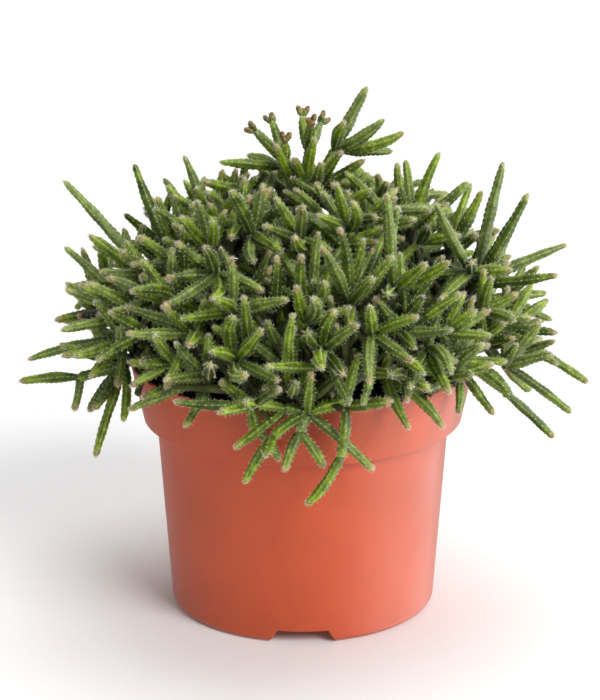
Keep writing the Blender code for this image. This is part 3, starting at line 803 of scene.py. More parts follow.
def close_to_point(rise=0.0):
    """Closes the selected ring with faces that meet over its middle, as far above it as told."""
    bpy.ops.mesh.extrude_edges_move(TRANSFORM_OT_translate={"value": (0, 0, rise)})
    bpy.ops.mesh.merge(type="CENTER")


def extrude_rings(profile, start):
    """Extrudes the selected ring about +Z through (radius, height) places, in metres."""
    radius, height = start
    for next_radius, next_height in profile:
        bpy.ops.mesh.extrude_edges_move(TRANSFORM_OT_translate={"value": (0, 0, next_height - height)})
        resize(next_radius / radius, next_radius / radius)
        radius, height = next_radius, next_height


def model_round(name, sides, outline, close):
    """A round closed shape: a disc's rings drawn out along an outline, and the last one closed."""
    start, *rest = [(radius * MM, height * MM) for radius, height in outline]
    made = added(bpy.ops.mesh.primitive_circle_add, vertices=sides, radius=start[0],
                 location=(0, 0, start[1]))
    made.name = name
    with editing(made):
        bpy.ops.mesh.select_mode(type="EDGE")
        bpy.ops.mesh.select_all(action="SELECT")
        bpy.ops.mesh.edge_face_add()
        pick("EDGE", lambda edge: True)
        extrude_rings(rest, start)
        close()
        face_outwards()
    return made


def model_stem(steps, ribs, furrow):
    """A ribbed stem: one unit long from its base to where its end starts to round, then one more.

    It has furrows between its ribs, and each rib dips between one areole and the next.
    """
    sides = 2 * ribs

    def in_furrow(vert):
        return not on_rib(line_of(*vert.co.xy, sides))

    def between_areoles(vert):
        return not in_furrow(vert) and not is_areole(*vert.co, sides, steps)

    stem = added(bpy.ops.mesh.primitive_cylinder_add, vertices=sides, radius=1, depth=1,
                 end_fill_type="NOTHING", location=(0, 0, 0.5))
    last = END_RINGS[-1][1]
    with editing(stem):
        pick("EDGE", lambda edge: abs(edge.verts[0].co.z - edge.verts[1].co.z) > 0.5)
        bpy.ops.mesh.subdivide(number_cuts=2 * steps - 1)
        pick("VERT", between_areoles)
        resize(DIP, DIP)
        pick("EDGE", lambda edge: min(vert.co.z for vert in edge.verts) > 1 - LEVEL)
        extrude_rings(END_RINGS, (1, 1))
        pick("VERT", in_furrow)
        resize(furrow, furrow)
        pick("VERT", lambda vert: in_furrow(vert) and vert.co.z > 1 + LEVEL)
        resize(END_FURROW / furrow, END_FURROW / furrow)
        pick("EDGE", lambda edge: min(vert.co.z for vert in edge.verts) > last - LEVEL)
        close_to_point(2 - last)
        pick("EDGE", lambda edge: max(vert.co.z for vert in edge.verts) < LEVEL)
        bpy.ops.mesh.edge_face_add()
        face_outwards()
    return pattern_of(stem)


def line_of(x, y, sides):
    """Which of a stem's lines a point is on, counted round it: even on a rib, odd in a furrow."""
    return np.round(np.arctan2(y, x) / (2 * math.pi) * sides).astype(int) % sides


def on_rib(line):
    return line % 2 == 0


def is_areole(x, y, z, sides, steps):
    """Areoles sit one step apart on a rib, half a step on along the next, and crowd the round end."""
    line = line_of(x, y, sides)
    row = np.round(z * 2 * steps).astype(int)
    staggered = (row > 1) & ((row + line // 2) % 2 == 0)
    return on_rib(line) & np.where(z < 1 + LEVEL, staggered, z < END_RINGS[-1][1] + LEVEL)


def model_bristle():
    """A needle: a three-sided cone, a unit long, with a foot of radius one."""
    needle = added(bpy.ops.mesh.primitive_cone_add, vertices=3, radius1=1, radius2=0, depth=1,
                   location=(0, 0, 0.5))
    with editing(needle):
        face_outwards()
    return pattern_of(needle)


def units(vectors):
    return vectors / np.linalg.norm(vectors, axis=1)[:, None]


def frames(points):
    """A pair of axes across a line at each of its points, turned as little as possible."""
    ways = units(np.diff(points, axis=0))
    headings = units(np.vstack([ways[:1], ways[1:] + ways[:-1], ways[-1:]]))
    side = unit(np.cross(headings[0], (0.31, 0.95, 0.07)))
    sides = []
    for heading in headings:
        side = unit(side - heading * np.dot(side, heading))
        sides.append(side)
    sides = np.array(sides)
    return headings, sides, np.cross(headings, sides)


def girth(share, kind):
    """How thick a stem is along it: narrow at the joint, full past the middle, less at the end."""
    neck, end = GIRTHS[kind]
    rise = np.clip(share / FULLEST, 0, 1)
    fall = np.clip((share - FULLEST) / (1 - FULLEST), 0, 1)
    fullness = HANGING_FULLNESS if kind == "hanging" else FULLNESS
    return fullness * (1 - (1 - neck) * (1 - rise) ** 2 - (1 - end) * fall ** NARROWING)


def laid(pattern, stem, rng):
    """A unit stem's points laid along a grown stem, with each point's share of the way along it."""
    twist = rng.uniform(-TWIST, TWIST)
    phase = rng.uniform(0, 2 * math.pi)
    length = stem.length()
    rounding = min(ROUNDING * stem.radius, LONGEST_ROUNDING * length)
    up = pattern.points[:, 2]
    along = np.where(up <= 1, up * (length - rounding), length + (up - 2) * rounding)
    share = np.clip(along / length, 0, 1)
    levels, row = np.unique(np.round(share, 6), return_inverse=True)
    centres = stem.at(levels[:, None])
    headings, sides, acrosses = frames(centres)
    angle = twist * share
    x = pattern.points[:, 0] * np.cos(angle) - pattern.points[:, 1] * np.sin(angle)
    y = pattern.points[:, 0] * np.sin(angle) + pattern.points[:, 1] * np.cos(angle)
    wide = stem.radius * girth(share, "hanging" if hangs(stem) else stem.kind)
    wide = (wide * (1 + UNEVENNESS * np.sin(phase + WAVE * along)))[:, None]
    points = centres[row] + wide * (x[:, None] * sides[row] + y[:, None] * acrosses[row])
    return points, share, headings[row], centres[row]


def hangs(stem):
    """Whether a stem is a tip that points well down."""
    return stem.kind == "tip" and stem.tip[2] < stem.base[2] - HANGING_DROP * stem.length()


@functools.lru_cache(maxsize=None)
def stem_pattern(steps, ribs, furrow):
    """A modelled stem, with the points that are on its ribs and those that are areoles."""
    pattern = model_stem(steps, ribs, furrow)
    x, y, z = pattern.points.T
    return pattern, on_rib(line_of(x, y, 2 * ribs)), is_areole(x, y, z, 2 * ribs, steps)


class Dressed:
    """A grown stem with a modelled one laid along it, and the values its colour is worked out from."""

    def __init__(self, stem, number, settings):
        rng = random.Random(SEED + 10 * number)
        self.is_hidden = dome_share(stem.at(HIDDEN_PLACE)) < HIDDEN_REACH
        spacing = settings.areole_spacing / MM * (HIDDEN_SPACING if self.is_hidden else 1)
        steps = max(FEWEST_STEPS, round(stem.length() / spacing))
        steps = {"stalk": STALK_STEPS, "old": OLD_STEPS}.get(stem.kind, steps)
        ribs = OLD_RIBS if stem.kind in ("stalk", "old") else settings.ribs
        self.pattern, crest, self.areole = stem_pattern(steps, ribs, settings.furrow)
        self.points, share, self.headings, self.centres = laid(self.pattern, stem, rng)
        self.end = (1 - share) * stem.length()
        self.seed = rng.random()
        self.has_bristles = stem.kind in ("tip", "limb")
        self.bristle_share = HANGING_BRISTLES if hangs(stem) else 1.0
        ripe = {"tip": TIP_RIPENESS * rng.random() ** 1.5, "bud": BUD_RIPENESS}.get(stem.kind, 0.0)
        is_dry = stem.kind == "tip" and np.linalg.norm((stem.tip - DRY_TIP) / DRY_REACH) < 1
        # The bark share: bark on the stalks, painted shade on the old stems in the heart of the bush
        alike = {"tone": self.seed, "bloom": rng.random(), "ripe": ripe,
                 "bark": BARK_AND_SHADE_SHARES.get(stem.kind, 0.0), "dry": float(is_dry)}
        self.carried = {
            "share": share,
            "crest": crest.astype(float),
            "areole": (self.areole & (self.end > BARE_END)).astype(float),
            "end": self.end,
            **{name: np.full(len(share), value) for name, value in alike.items()},
        }


def dressed_by_shoot(settings):
    """Each shoot's name with its stems, dressed. It is the same each time for the same settings."""
    names, stems = grown(settings.infill, settings.heart)
    shoots = {name: [] for name in names}
    for number, stem in enumerate(stems):
        shoots[names[stem.shoot]].append(Dressed(stem, number, settings))
    return shoots


def by_place(end, pair):
    """The first of a pair for points along a stem, and the second for those near its end."""
    return np.where(end < BRISTLY_END, pair[1], pair[0])


def bristles_of(stem, needle, settings):
    """The bristles of one stem: a few from each areole, longer and thicker set round its end."""
    rng = np.random.default_rng(int(stem.seed * 1e6))
    at = np.flatnonzero(stem.areole)
    each = 1 if stem.is_hidden else settings.bristles
    at = np.repeat(at, each * by_place(stem.end[at], BRISTLE_COUNTS))
    end = stem.end[at]
    count = len(at)
    out = units(stem.points[at] - stem.centres[at])
    lean = rng.uniform(0.0, 1.0, count) * by_place(end, BRISTLE_LEANS)
    way = out + stem.headings[at] * lean[:, None]
    way = units(way + rng.uniform(-1, 1, (count, 3)) * by_place(end, BRISTLE_SCATTERS)[:, None])
    side = units(np.cross(way, (0.21, 0.32, 0.92)))
    across = np.cross(way, side)
    longest = stem.bristle_share * settings.bristle_length / MM
    length = longest * rng.uniform(SHORTEST_BRISTLE, 1.0, count) * by_place(end, BRISTLE_LENGTHS)
    radius = 0.5 * settings.bristle_width / MM
    x, y, z = needle.points.T[:, None, :, None]
    root = (stem.points[at] - BRISTLE_ROOT * out)[:, None]
    reach = (way * length[:, None])[:, None]
    points = root + radius * (x * side[:, None] + y * across[:, None]) + z * reach
    carried = {"end": np.repeat(end, len(needle.points)),
               "tone": np.repeat(rng.random(count), len(needle.points))}
    return needle.times(count), points.reshape(-1, 3), carried


def arc(centre_radius, centre_height, radius, first, last, count):
    """Places on an arc in the profile's plane, from one angle to another, in degrees."""
    angles = np.radians(np.linspace(first, last, count))
    return [(centre_radius + radius * math.cos(a), centre_height + radius * math.sin(a)) for a in angles]


def pot_profile():
    """The pot's outline in millimetres, from its inner floor over the rim to its underside."""
    lip = 0.5 * WALL
    above_notch = NOTCH_HEIGHT + 1
    return [
        (BASE_RADIUS - WALL - 1.5, FLOOR_UNDERSIDE + WALL),
        (BASE_RADIUS - WALL + 0.1, FLOOR_UNDERSIDE + WALL + 0.8),
        (SHOULDER_RADIUS - WALL, COLLAR_FOOT_HEIGHT + 0.8),
        (SHOULDER_RADIUS - 0.4 * WALL, COLLAR_FOOT_HEIGHT + WALL),
        (COLLAR_FOOT_RADIUS - WALL - 0.6, COLLAR_FOOT_HEIGHT + WALL),
        (COLLAR_FOOT_RADIUS - WALL, COLLAR_FOOT_HEIGHT + WALL + 0.5),
        *arc(RIM_RADIUS - lip, POT_HEIGHT - lip, lip, 172, 0, 7),
        *arc(COLLAR_FOOT_RADIUS - 0.35, COLLAR_FOOT_HEIGHT + 0.4, 0.4, 12, -90, 5),
        (SHOULDER_RADIUS + 0.5, COLLAR_FOOT_HEIGHT),
        (SHOULDER_RADIUS, COLLAR_FOOT_HEIGHT - 0.5),
        (float(pot_outside(above_notch)), above_notch),
        *arc(BASE_RADIUS + 0.2 - BASE_ROUNDING, BASE_ROUNDING, BASE_ROUNDING, 0, -62, 6),
        (FOOT_RING_OUTSIDE, 0),
        (FOOT_RING_INSIDE, 0),
        (FOOT_RING_INSIDE - 0.2, FLOOR_UNDERSIDE),
    ]


def model_pot(sides):
    """The pot: one ring drawn out along the profile, with its notches and drain holes cut."""
    pot = model_round("pot_shell", sides, pot_profile(), bpy.ops.mesh.edge_face_add)
    for azimuth in NOTCH_AZIMUTHS:
        cut(pot, model_notch(math.radians(azimuth)))
    for i in range(DRAIN_COUNT):
        azimuth = 2 * math.pi * (i + 0.5) / DRAIN_COUNT
        place = Matrix.Rotation(azimuth, 3, "Z") @ Vector((DRAIN_CIRCLE, 0, FLOOR_UNDERSIDE))
        cut(pot, added(bpy.ops.mesh.primitive_cylinder_add, vertices=DRAIN_SIDES,
                       radius=DRAIN_RADIUS * MM, depth=4 * WALL * MM, location=place * MM))
    modify(pot, "BEVEL", width=EDGE_ROUNDING * MM, segments=EDGE_STEPS, limit_method="ANGLE",
           angle_limit=ROUNDED_ANGLE)
    bpy.ops.object.shade_smooth_by_angle(angle=SMOOTH_ANGLE)
    return pot


def model_notch(azimuth):
    """The block that cuts a notch through the foot ring. It reaches as far below the foot as above."""
    block = added(bpy.ops.mesh.primitive_cube_add, size=1)
    lowest_width = 2 * NOTCH_WIDTH_BELOW - NOTCH_WIDTH_ABOVE
    size = Vector((NOTCH_REACH, lowest_width, 2 * NOTCH_HEIGHT)) * MM
    narrowing = NOTCH_WIDTH_ABOVE / lowest_width
    with editing(block):
        bpy.ops.mesh.select_all(action="SELECT")
        resize(*size)
        pick("FACE", lambda face: face.normal.z > 0.9)
        resize(1, narrowing)
        bpy.ops.mesh.select_all(action="SELECT")
        bpy.ops.transform.translate(value=(NOTCH_MIDDLE * MM, 0, 0))
    block.data.transform(Matrix.Rotation(azimuth, 4, "Z"))
    return block


def cut(target, cutter):
    """Takes one object out of another with a Boolean, applied, after which the cutter goes."""
    modify(target, "BOOLEAN", operation="DIFFERENCE", object=cutter, solver="EXACT")
    bpy.data.objects.remove(cutter, do_unlink=True)


def soil_edge():
    """The soil's radius at its top edge, just inside the collar."""
    share = (SOIL_TOP - SOIL_BUMP - COLLAR_FOOT_HEIGHT - WALL) / (POT_HEIGHT - COLLAR_FOOT_HEIGHT - WALL)
    return COLLAR_FOOT_RADIUS + (RIM_RADIUS - COLLAR_FOOT_RADIUS) * share - WALL - GAP


def model_soil():
    """The root ball: a plug that fills the pot, with a crumbly top."""
    edge = soil_edge()
    shelf = COLLAR_FOOT_HEIGHT + WALL + GAP
    outline = [
        (BASE_RADIUS - WALL - GAP - 1.5, FLOOR_UNDERSIDE + WALL + GAP),
        (SHOULDER_RADIUS - WALL - GAP, shelf),
        (COLLAR_FOOT_RADIUS - WALL - GAP - 0.6, shelf),
        (edge, SOIL_TOP - SOIL_BUMP),
        *[(edge * (1 - i / SOIL_RINGS), SOIL_TOP) for i in range(1, SOIL_RINGS)],
    ]
    soil = model_round("soil_crust", SOIL_SIDES, outline, close_to_point)
    top = soil.vertex_groups.new(name="top")
    level = (SOIL_TOP - 0.1) * MM
    top.add([vert.index for vert in soil.data.vertices if vert.co.z > level], 1.0, "REPLACE")
    for size, height in SOIL_LUMPS:
        lumps = bpy.data.textures.new("lumps", "CLOUDS")
        lumps.noise_scale = size * MM
        modify(soil, "DISPLACE", texture=lumps, vertex_group=top.name, direction="Z",
               strength=height * MM)
    soil.data.shade_smooth()
    return soil


def model_crumb(seed):
    """A crumb of peat a unit across: a ball pushed out of shape and flattened."""
    crumb = added(bpy.ops.mesh.primitive_ico_sphere_add, subdivisions=1, radius=0.5)
    with editing(crumb):
        bpy.ops.mesh.select_all(action="SELECT")
        bpy.ops.transform.vertex_random(offset=CRUMB_JAGGEDNESS, seed=seed)
        resize(1, 1, CRUMB_FLATNESS)
    return pattern_of(crumb)


def scatter_crumbs(settings):
    """Crumbs all over the soil, half sunk into it, each turned and sized at random."""
    rng = np.random.default_rng(SEED)
    edge = soil_edge() - CRUMB_MARGIN
    copies = []
    for kind in range(CRUMB_KINDS):
        crumb = model_crumb(kind + 1)
        count = settings.crumbs // CRUMB_KINDS
        size = settings.crumb_size / MM * (SMALLEST_CRUMB + CRUMB_SPREAD * rng.random(count) ** 3)
        out = edge * np.sqrt(rng.random(count))
        azimuth = rng.uniform(0, 2 * math.pi, count)
        turns = np.array([turned_at_random(rng) for _ in range(count)])
        points = np.einsum("nij,kj->nki", turns, crumb.points) * size[:, None, None]
        height = SOIL_TOP + rng.uniform(*CRUMB_HEIGHTS, count)
        middle = np.stack([out * np.cos(azimuth), out * np.sin(azimuth), height], axis=1)
        carried = {"tone": np.repeat(rng.random(count), len(crumb.points))}
        copies.append((crumb.times(count), (points + middle[:, None]).reshape(-1, 3), carried))
    return fused("soil_crumbs", copies, ("tone",))


def turned_at_random(rng):
    turn, _ = np.linalg.qr(rng.normal(size=(3, 3)))
    return turn * np.sign(np.linalg.det(turn))


def node(tree, kind, inputs=None, **settings):
    """A shader node with its settings, each of its inputs given a value or joined to an output."""
    made = tree.nodes.new("ShaderNode" + kind)
    for name, value in settings.items():
        setattr(made, name, value)
    for name, value in (inputs or {}).items():
        join(tree, made.inputs[name], value)
    return made


def join(tree, socket, value):
    if isinstance(value, bpy.types.NodeSocket):
        tree.links.new(value, socket)
    elif socket.type == "RGBA":
        socket.default_value = (*value, 1)
    else:
        socket.default_value = value


def blended(tree, share, first, second):
    """The colour that lies a share of the way from the first to the second."""
    return node(tree, "Mix", {0: share, 6: first, 7: second}, data_type="RGBA").outputs[2]


def ramped(tree, value, low, high, start=0.0, end=1.0):
    """A value taken smoothly from one range to another."""
    made = node(tree, "MapRange", {"Value": value, "From Min": low, "From Max": high, "To Min": start,
                                   "To Max": end}, interpolation_type="SMOOTHSTEP")
    return made.outputs["Result"]


def times(tree, first, second):
    return node(tree, "Math", {0: first, 1: second}, operation="MULTIPLY").outputs[0]


def plus(tree, first, second, **settings):
    return node(tree, "Math", {0: first, 1: second}, operation="ADD", **settings).outputs[0]


def carried_value(tree, name):
    return node(tree, "Attribute", attribute_name=name).outputs["Fac"]


def noise(tree, scale, detail=2.0):
    """Soft noise all through a piece."""
    place = node(tree, "TexCoord").outputs["Object"]
    return node(tree, "TexNoise", {"Vector": place, "Scale": scale, "Detail": detail}).outputs["Fac"]


def new_group(name, inputs, outputs):
    """An empty node group, with named inputs at their defaults, and named outputs."""
    group = bpy.data.node_groups.new(name, "ShaderNodeTree")
    for label, kind, value in inputs:
        socket = group.interface.new_socket(label, in_out="INPUT", socket_type="NodeSocket" + kind)
        socket.default_value = value
    for label, kind in outputs:
        group.interface.new_socket(label, in_out="OUTPUT", socket_type="NodeSocket" + kind)
    return group, group.nodes.new("NodeGroupInput").outputs, group.nodes.new("NodeGroupOutput").inputs


def mottle_group():
    """Makes a colour lighter and darker in soft patches."""
    inputs = [("Colour", "Color", (0.5, 0.5, 0.5, 1)), ("Scale", "Float", 100.0),
              ("Amount", "Float", 0.2)]
    group, given, out = new_group("Mottle", inputs, [("Colour", "Color")])
    patches = noise(group, given["Scale"], 3.0)
    swing = node(group, "MapRange", {"Value": patches, "From Min": 0.35, "From Max": 0.65,
                                     "To Min": -1.0, "To Max": 1.0})
    light = node(group, "Math", {0: swing.outputs["Result"], 1: given["Amount"], 2: 1.0},
                 operation="MULTIPLY_ADD")
    toned = node(group, "HueSaturation", {"Color": given["Colour"], "Value": light.outputs[0]})
    group.links.new(toned.outputs["Color"], out["Colour"])
    return group


def grain_group():
    """A surface's height: a coarse unevenness with a finer one on top."""
    inputs = [("Coarse", "Float", 100.0), ("Fine", "Float", 800.0), ("Share", "Float", 0.3)]
    group, given, out = new_group("Grain", inputs, [("Height", "Float")])
    height = node(group, "Mix", {0: given["Share"], 2: noise(group, given["Coarse"]),
                                 3: noise(group, given["Fine"])})
    group.links.new(height.outputs[0], out["Height"])
    return group


@functools.lru_cache(maxsize=None)
def shared_group(name):
    return {"Mottle": mottle_group, "Grain": grain_group}[name]()


def grouped(tree, name, **inputs):
    """A shared group placed in a material, and its first output."""
    made = node(tree, "Group", node_tree=shared_group(name))
    for label, value in inputs.items():
        join(tree, made.inputs[label], value)
    return made.outputs[0]


def new_material(name, roughness, specular=0.5):
    """A material with a plain shader, its node tree and the shader."""
    made = bpy.data.materials.new(name)
    made.use_nodes = True
    tree = made.node_tree
    shader = tree.nodes["Principled BSDF"]
    join(tree, shader.inputs["Roughness"], roughness)
    shader.inputs["Specular IOR Level"].default_value = specular
    return made, tree, shader


def bump(tree, shader, height, distance, strength=1.0):
    made = node(tree, "Bump", {"Height": height, "Distance": distance, "Strength": strength})
    tree.links.new(made.outputs["Normal"], shader.inputs["Normal"])


def plastic(settings):
    """Moulded plastic: an even colour, a satin sheen that varies a little, faint unevenness."""
    made, tree, shader = new_material("terracotta_plastic", settings.roughness)
    colour = grouped(tree, "Mottle", Colour=settings.colour, Scale=28.0, Amount=0.06)
    join(tree, shader.inputs["Base Color"], colour)
    shader.inputs["Sheen Weight"].default_value = settings.sheen
    shader.inputs["Sheen Roughness"].default_value = 0.4
    sheen = grouped(tree, "Grain", Coarse=45.0, Fine=900.0, Share=0.4)
    rough = ramped(tree, sheen, 0.3, 0.7, settings.roughness - 0.06, settings.roughness + 0.08)
    join(tree, shader.inputs["Roughness"], rough)
    bump(tree, shader, sheen, 0.12 * MM, 0.5)
    return made


def peat(settings, by_crumb):
    """Damp dark peat with fibres and specks of bark."""
    made, tree, shader = new_material("peat_crumbs" if by_crumb else "peat", 0.92, 0.25)
    if by_crumb:
        share = ramped(tree, carried_value(tree, "tone"), 0.55, 1.0)
    else:
        share = ramped(tree, grouped(tree, "Grain", Coarse=260.0, Fine=1500.0, Share=0.5), 0.52, 0.7)
    mixed = blended(tree, share, settings.colour, settings.bark_colour)
    colour = grouped(tree, "Mottle", Colour=mixed, Scale=700.0, Amount=0.5)
    join(tree, shader.inputs["Base Color"], colour)
    bump(tree, shader, grouped(tree, "Grain", Coarse=700.0, Fine=2600.0, Share=0.5), 0.6 * MM)
    return made


def skin(settings):
    """A stem's skin: green, lighter on its ribs as a painted highlight and darker in its furrows and
    towards its joint as painted shade, with pale areoles, and a ripe end on some stems.
    """
    made, tree, shader = new_material("cactus_skin", 0.42, 0.35)
    value, ramp, blend, product = [functools.partial(step, tree)
                                   for step in (carried_value, ramped, blended, times)]
    share, end, crest, ripe, bark = map(value, ("share", "end", "crest", "ripe", "bark"))
    patches, specks = noise(tree, 190.0), noise(tree, 1300.0, 1.0)
    # Lighter towards a stem's end, where its skin is younger, and darker towards its joint as painted
    # shade
    aged_and_shaded = plus(tree, value("tone"), ramp(share, 0.3, 1.0, -0.15, 0.25))
    tone = plus(tree, aged_and_shaded, ramp(patches, 0.35, 0.65, -0.35, 0.35), use_clamp=True)
    green = blend(tone, settings.deep_green, settings.light_green)
    hazy = blend(ramp(value("bloom"), 0.5, 0.95, 0.0, 0.6), green, settings.bloom_colour)
    # Painted shade in the furrows: the skin darkens towards deep green there, less near the round end,
    # and stays lighter on the crests
    furrow = blend(ramp(end, 1.0, 5.0, 0.1, 0.65), hazy, settings.deep_green)
    body = blend(ramp(crest, 0.0, 0.5), furrow, hazy)
    # Painted highlight: a pale line along each rib's crest, fading out towards the round end
    rib = product(ramp(crest, 0.7, 1.0, 0.0, 0.25), ramp(end, 3.0, 8.0))
    ribbed = blend(rib, body, settings.rib_highlight_green)
    # Painted shade: the skin darkens strongly towards deep green near the joint
    shaded_at_joint = blend(ramp(share, 0.0, 0.4, 0.8, 0.0), ribbed, settings.deep_green)
    brown = product(ramp(ripe, 0.5, 1.8), ramp(specks, 0.4, 0.6, 0.3, 1.0))
    end_colour = blend(brown, settings.ripe_colour, settings.bud_colour)
    ripened = blend(product(ramp(end, RIPE_LENGTH, 0.3), ripe), shaded_at_joint, end_colour)
    # Bark colour on the stalks; on the old stems in the heart of the bush the same dark colour is
    # painted shade
    woody_and_shaded = blend(bark, ripened, settings.bark_colour)
    dry = blend(value("dry"), woody_and_shaded, dried(tree))
    # Mottling of the skin, coarse and fine, made strong enough to stand also for the small shadows of
    # bristles and areoles as painted shade
    mottled = grouped(tree, "Mottle", Colour=dry, Scale=420.0, Amount=0.3)
    mottle_and_painted_shade = grouped(tree, "Mottle", Colour=mottled, Scale=1400.0, Amount=0.25)
    wool = product(ramp(value("areole"), 0.6, 0.9), ramp(specks, 0.4, 0.65, 0.25, 1.0))
    dot = product(wool, ramp(bark, 0.0, 1.0, 1.0, 0.15))
    join(tree, shader.inputs["Base Color"], blend(dot, mottle_and_painted_shade, settings.areole_colour))
    bump(tree, shader, grouped(tree, "Grain", Coarse=500.0, Fine=2200.0, Share=0.4), 0.15 * MM, 0.6)
    return made


def dried(tree):
    """The colour of a dead stem: pale and papery, black further out, with a rusty point."""
    end = carried_value(tree, "end")
    papery = blended(tree, ramped(tree, end, 7.0, 9.0), (0.015, 0.012, 0.010), (0.42, 0.40, 0.30))
    return blended(tree, ramped(tree, end, 1.3, 2.2), (0.36, 0.12, 0.03), papery)


def hair(settings):
    """A bristle's colour: whitish, and straw to pink-brown near a stem's end."""
    made, tree, shader = new_material("bristle", 0.45, 0.4)
    near_end = ramped(tree, carried_value(tree, "end"), BRISTLY_END, 1.0)
    warm = times(tree, near_end, ramped(tree, carried_value(tree, "tone"), 0.2, 1.0))
    colour = blended(tree, warm, settings.colour, settings.end_colour)
    mottled = grouped(tree, "Mottle", Colour=colour, Scale=900.0, Amount=0.15)
    join(tree, shader.inputs["Base Color"], mottled)
    return made


def place_piece(piece, material, slot, *nodes):
    """Finishes a piece: its material, the body it rides on and the solids it stands for. The slot is not
    used.
    """
    piece.data.materials.clear()
    piece.data.materials.append(material)
    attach(piece, BODY)
    if nodes:
        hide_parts(*nodes)


def colour_setting(name, description, default):
    return FloatVectorProperty(name=name, description=description, default=default, size=3, min=0,
                               max=1, subtype="COLOR")


def length_setting(name, description, default, low, high):
    return FloatProperty(name=name, description=description, default=default, min=low, max=high,
                         unit="LENGTH", subtype="DISTANCE")


def share_setting(name, description, default, low, high):
    return FloatProperty(name=name, description=description, default=default, min=low, max=high,
                         subtype="FACTOR")


def count_setting(name, description, default, low, high):
    return IntProperty(name=name, description=description, default=default, min=low, max=high)


class PotSettings(bpy.types.PropertyGroup):
    colour: colour_setting("Plastic", "Colour of the pot's plastic", (0.56, 0.080, 0.022))
    roughness: share_setting("Roughness", "How matt the plastic is", 0.42, 0.1, 0.9)
    sheen: share_setting("Sheen", "How pale the plastic looks towards its outline", 0.25, 0, 1)
    sides: count_setting("Sides", "How many sides the round pot has", 160, 40, 400)


class SoilSettings(bpy.types.PropertyGroup):
    colour: colour_setting("Peat", "Colour of the damp peat", (0.016, 0.011, 0.008))
    bark_colour: colour_setting("Bark", "Colour of the bark in the peat", (0.085, 0.045, 0.022))
    crumbs: count_setting("Crumbs", "How many loose crumbs lie on the soil", 1300, 0, 6000)
    crumb_size: length_setting("Crumb size", "Width of a large crumb", 3.4 * MM, 0.0005, 0.01)


class StemSettings(bpy.types.PropertyGroup):
    infill: count_setting("Infill", "How many stems fill the bush between the solid ones", 300, 0, 900)
    heart: count_setting("Heart", "How many old stems fill the heart of the bush", 760, 0, 1000)
    ribs: count_setting("Ribs", "Ribs round a stem", 6, 4, 12)
    furrow: share_setting("Furrow", "Width across the furrows, as a share of the ribs'", 0.76, 0.5, 1)
    areole_spacing: length_setting("Areole spacing", "From one areole to the next on a rib", 2.1 * MM,
                                   0.001, 0.01)
    deep_green: colour_setting("Deep green", "Colour of old and shaded skin", (0.044, 0.080, 0.008))
    light_green: colour_setting("Light green", "Colour of young skin", (0.252, 0.366, 0.024))
    bloom_colour: colour_setting("Bloom", "Colour of the haze on some stems", (0.22, 0.28, 0.08))
    # Painted highlight along the crests of the ribs
    rib_highlight_green: colour_setting("Rib green", "Colour along the ribs", (0.42, 0.50, 0.10))
    ripe_colour: colour_setting("Ripe end", "Colour of the round ends", (0.44, 0.36, 0.14))
    bud_colour: colour_setting("Bud", "Colour of buds and of the ripest ends", (0.16, 0.085, 0.03))
    # Bark on the stalks, and painted shade on the old stems in the heart of the bush
    bark_colour: colour_setting("Old stem", "Colour of the old woody stems", (0.028, 0.030, 0.012))
    areole_colour: colour_setting("Areole", "Colour of the woolly spots", (0.66, 0.60, 0.34))


class BristleSettings(bpy.types.PropertyGroup):
    colour: colour_setting("Bristle", "Colour of most bristles", (0.92, 0.90, 0.74))
    end_colour: colour_setting("End bristle", "Colour of bristles near a stem's end", (0.90, 0.78, 0.54))
    bristles: count_setting("Bristles", "How many grow from an areole", 2, 1, 6)
    bristle_length: length_setting("Length", "Length of the longest along a stem", 1.2 * MM, 0.0002,
                                   0.006)
    bristle_width: length_setting("Width", "Width of a bristle at its foot", 0.11 * MM, 0.00002, 0.001)


class StudioSettings(bpy.types.PropertyGroup):
    floor_colour: colour_setting("Floor", "Colour of the studio floor", (0.92, 0.92, 0.92))
    sky: FloatProperty(name="Sky", description="Strength of the even light", default=0.32, min=0, max=3)
    key: FloatProperty(name="Key", description="Strength of the main light", default=2.2, min=0, max=20)
    distance: length_setting("Camera distance", "From the middle of the plant", 0.8123, 0.2, 5)
    elevation: FloatProperty(name="Camera elevation", description="Angle above the horizon",
                             default=math.radians(16.3), min=0, max=1.5, unit="ROTATION",
                             subtype="ANGLE")


class CACTUS_OT_pot(bpy.types.Operator):
    """Model the plastic pot"""

    bl_idname = "cactus.pot"
    bl_label = "Pot"

    def execute(self, context):
        settings = context.scene.cactus_pot
        place_piece(model_pot(settings.sides), plastic(settings), "pot", "pot")
        return {"FINISHED"}


class CACTUS_OT_soil(bpy.types.Operator):
    """Model the soil and the crumbs that lie on it"""

    bl_idname = "cactus.soil"
    bl_label = "Soil"

    def execute(self, context):
        settings = context.scene.cactus_soil
        place_piece(model_soil(), peat(settings, False), "soil", "soil")
        place_piece(scatter_crumbs(settings), peat(settings, True), "soil")
        return {"FINISHED"}


class CACTUS_OT_stems(bpy.types.Operator):
    """Model every shoot's ribbed stems"""

    bl_idname = "cactus.stems"
    bl_label = "Stems"

    def execute(self, context):
        settings = context.scene.cactus_stems
        green = skin(settings)
        for name, stems in dressed_by_shoot(settings).items():
            copies = [(stem.pattern, stem.points, stem.carried) for stem in stems]
            place_piece(fused("stems_" + name, copies, STEM_VALUES), green, "stems", "shoot_" + name)
        return {"FINISHED"}


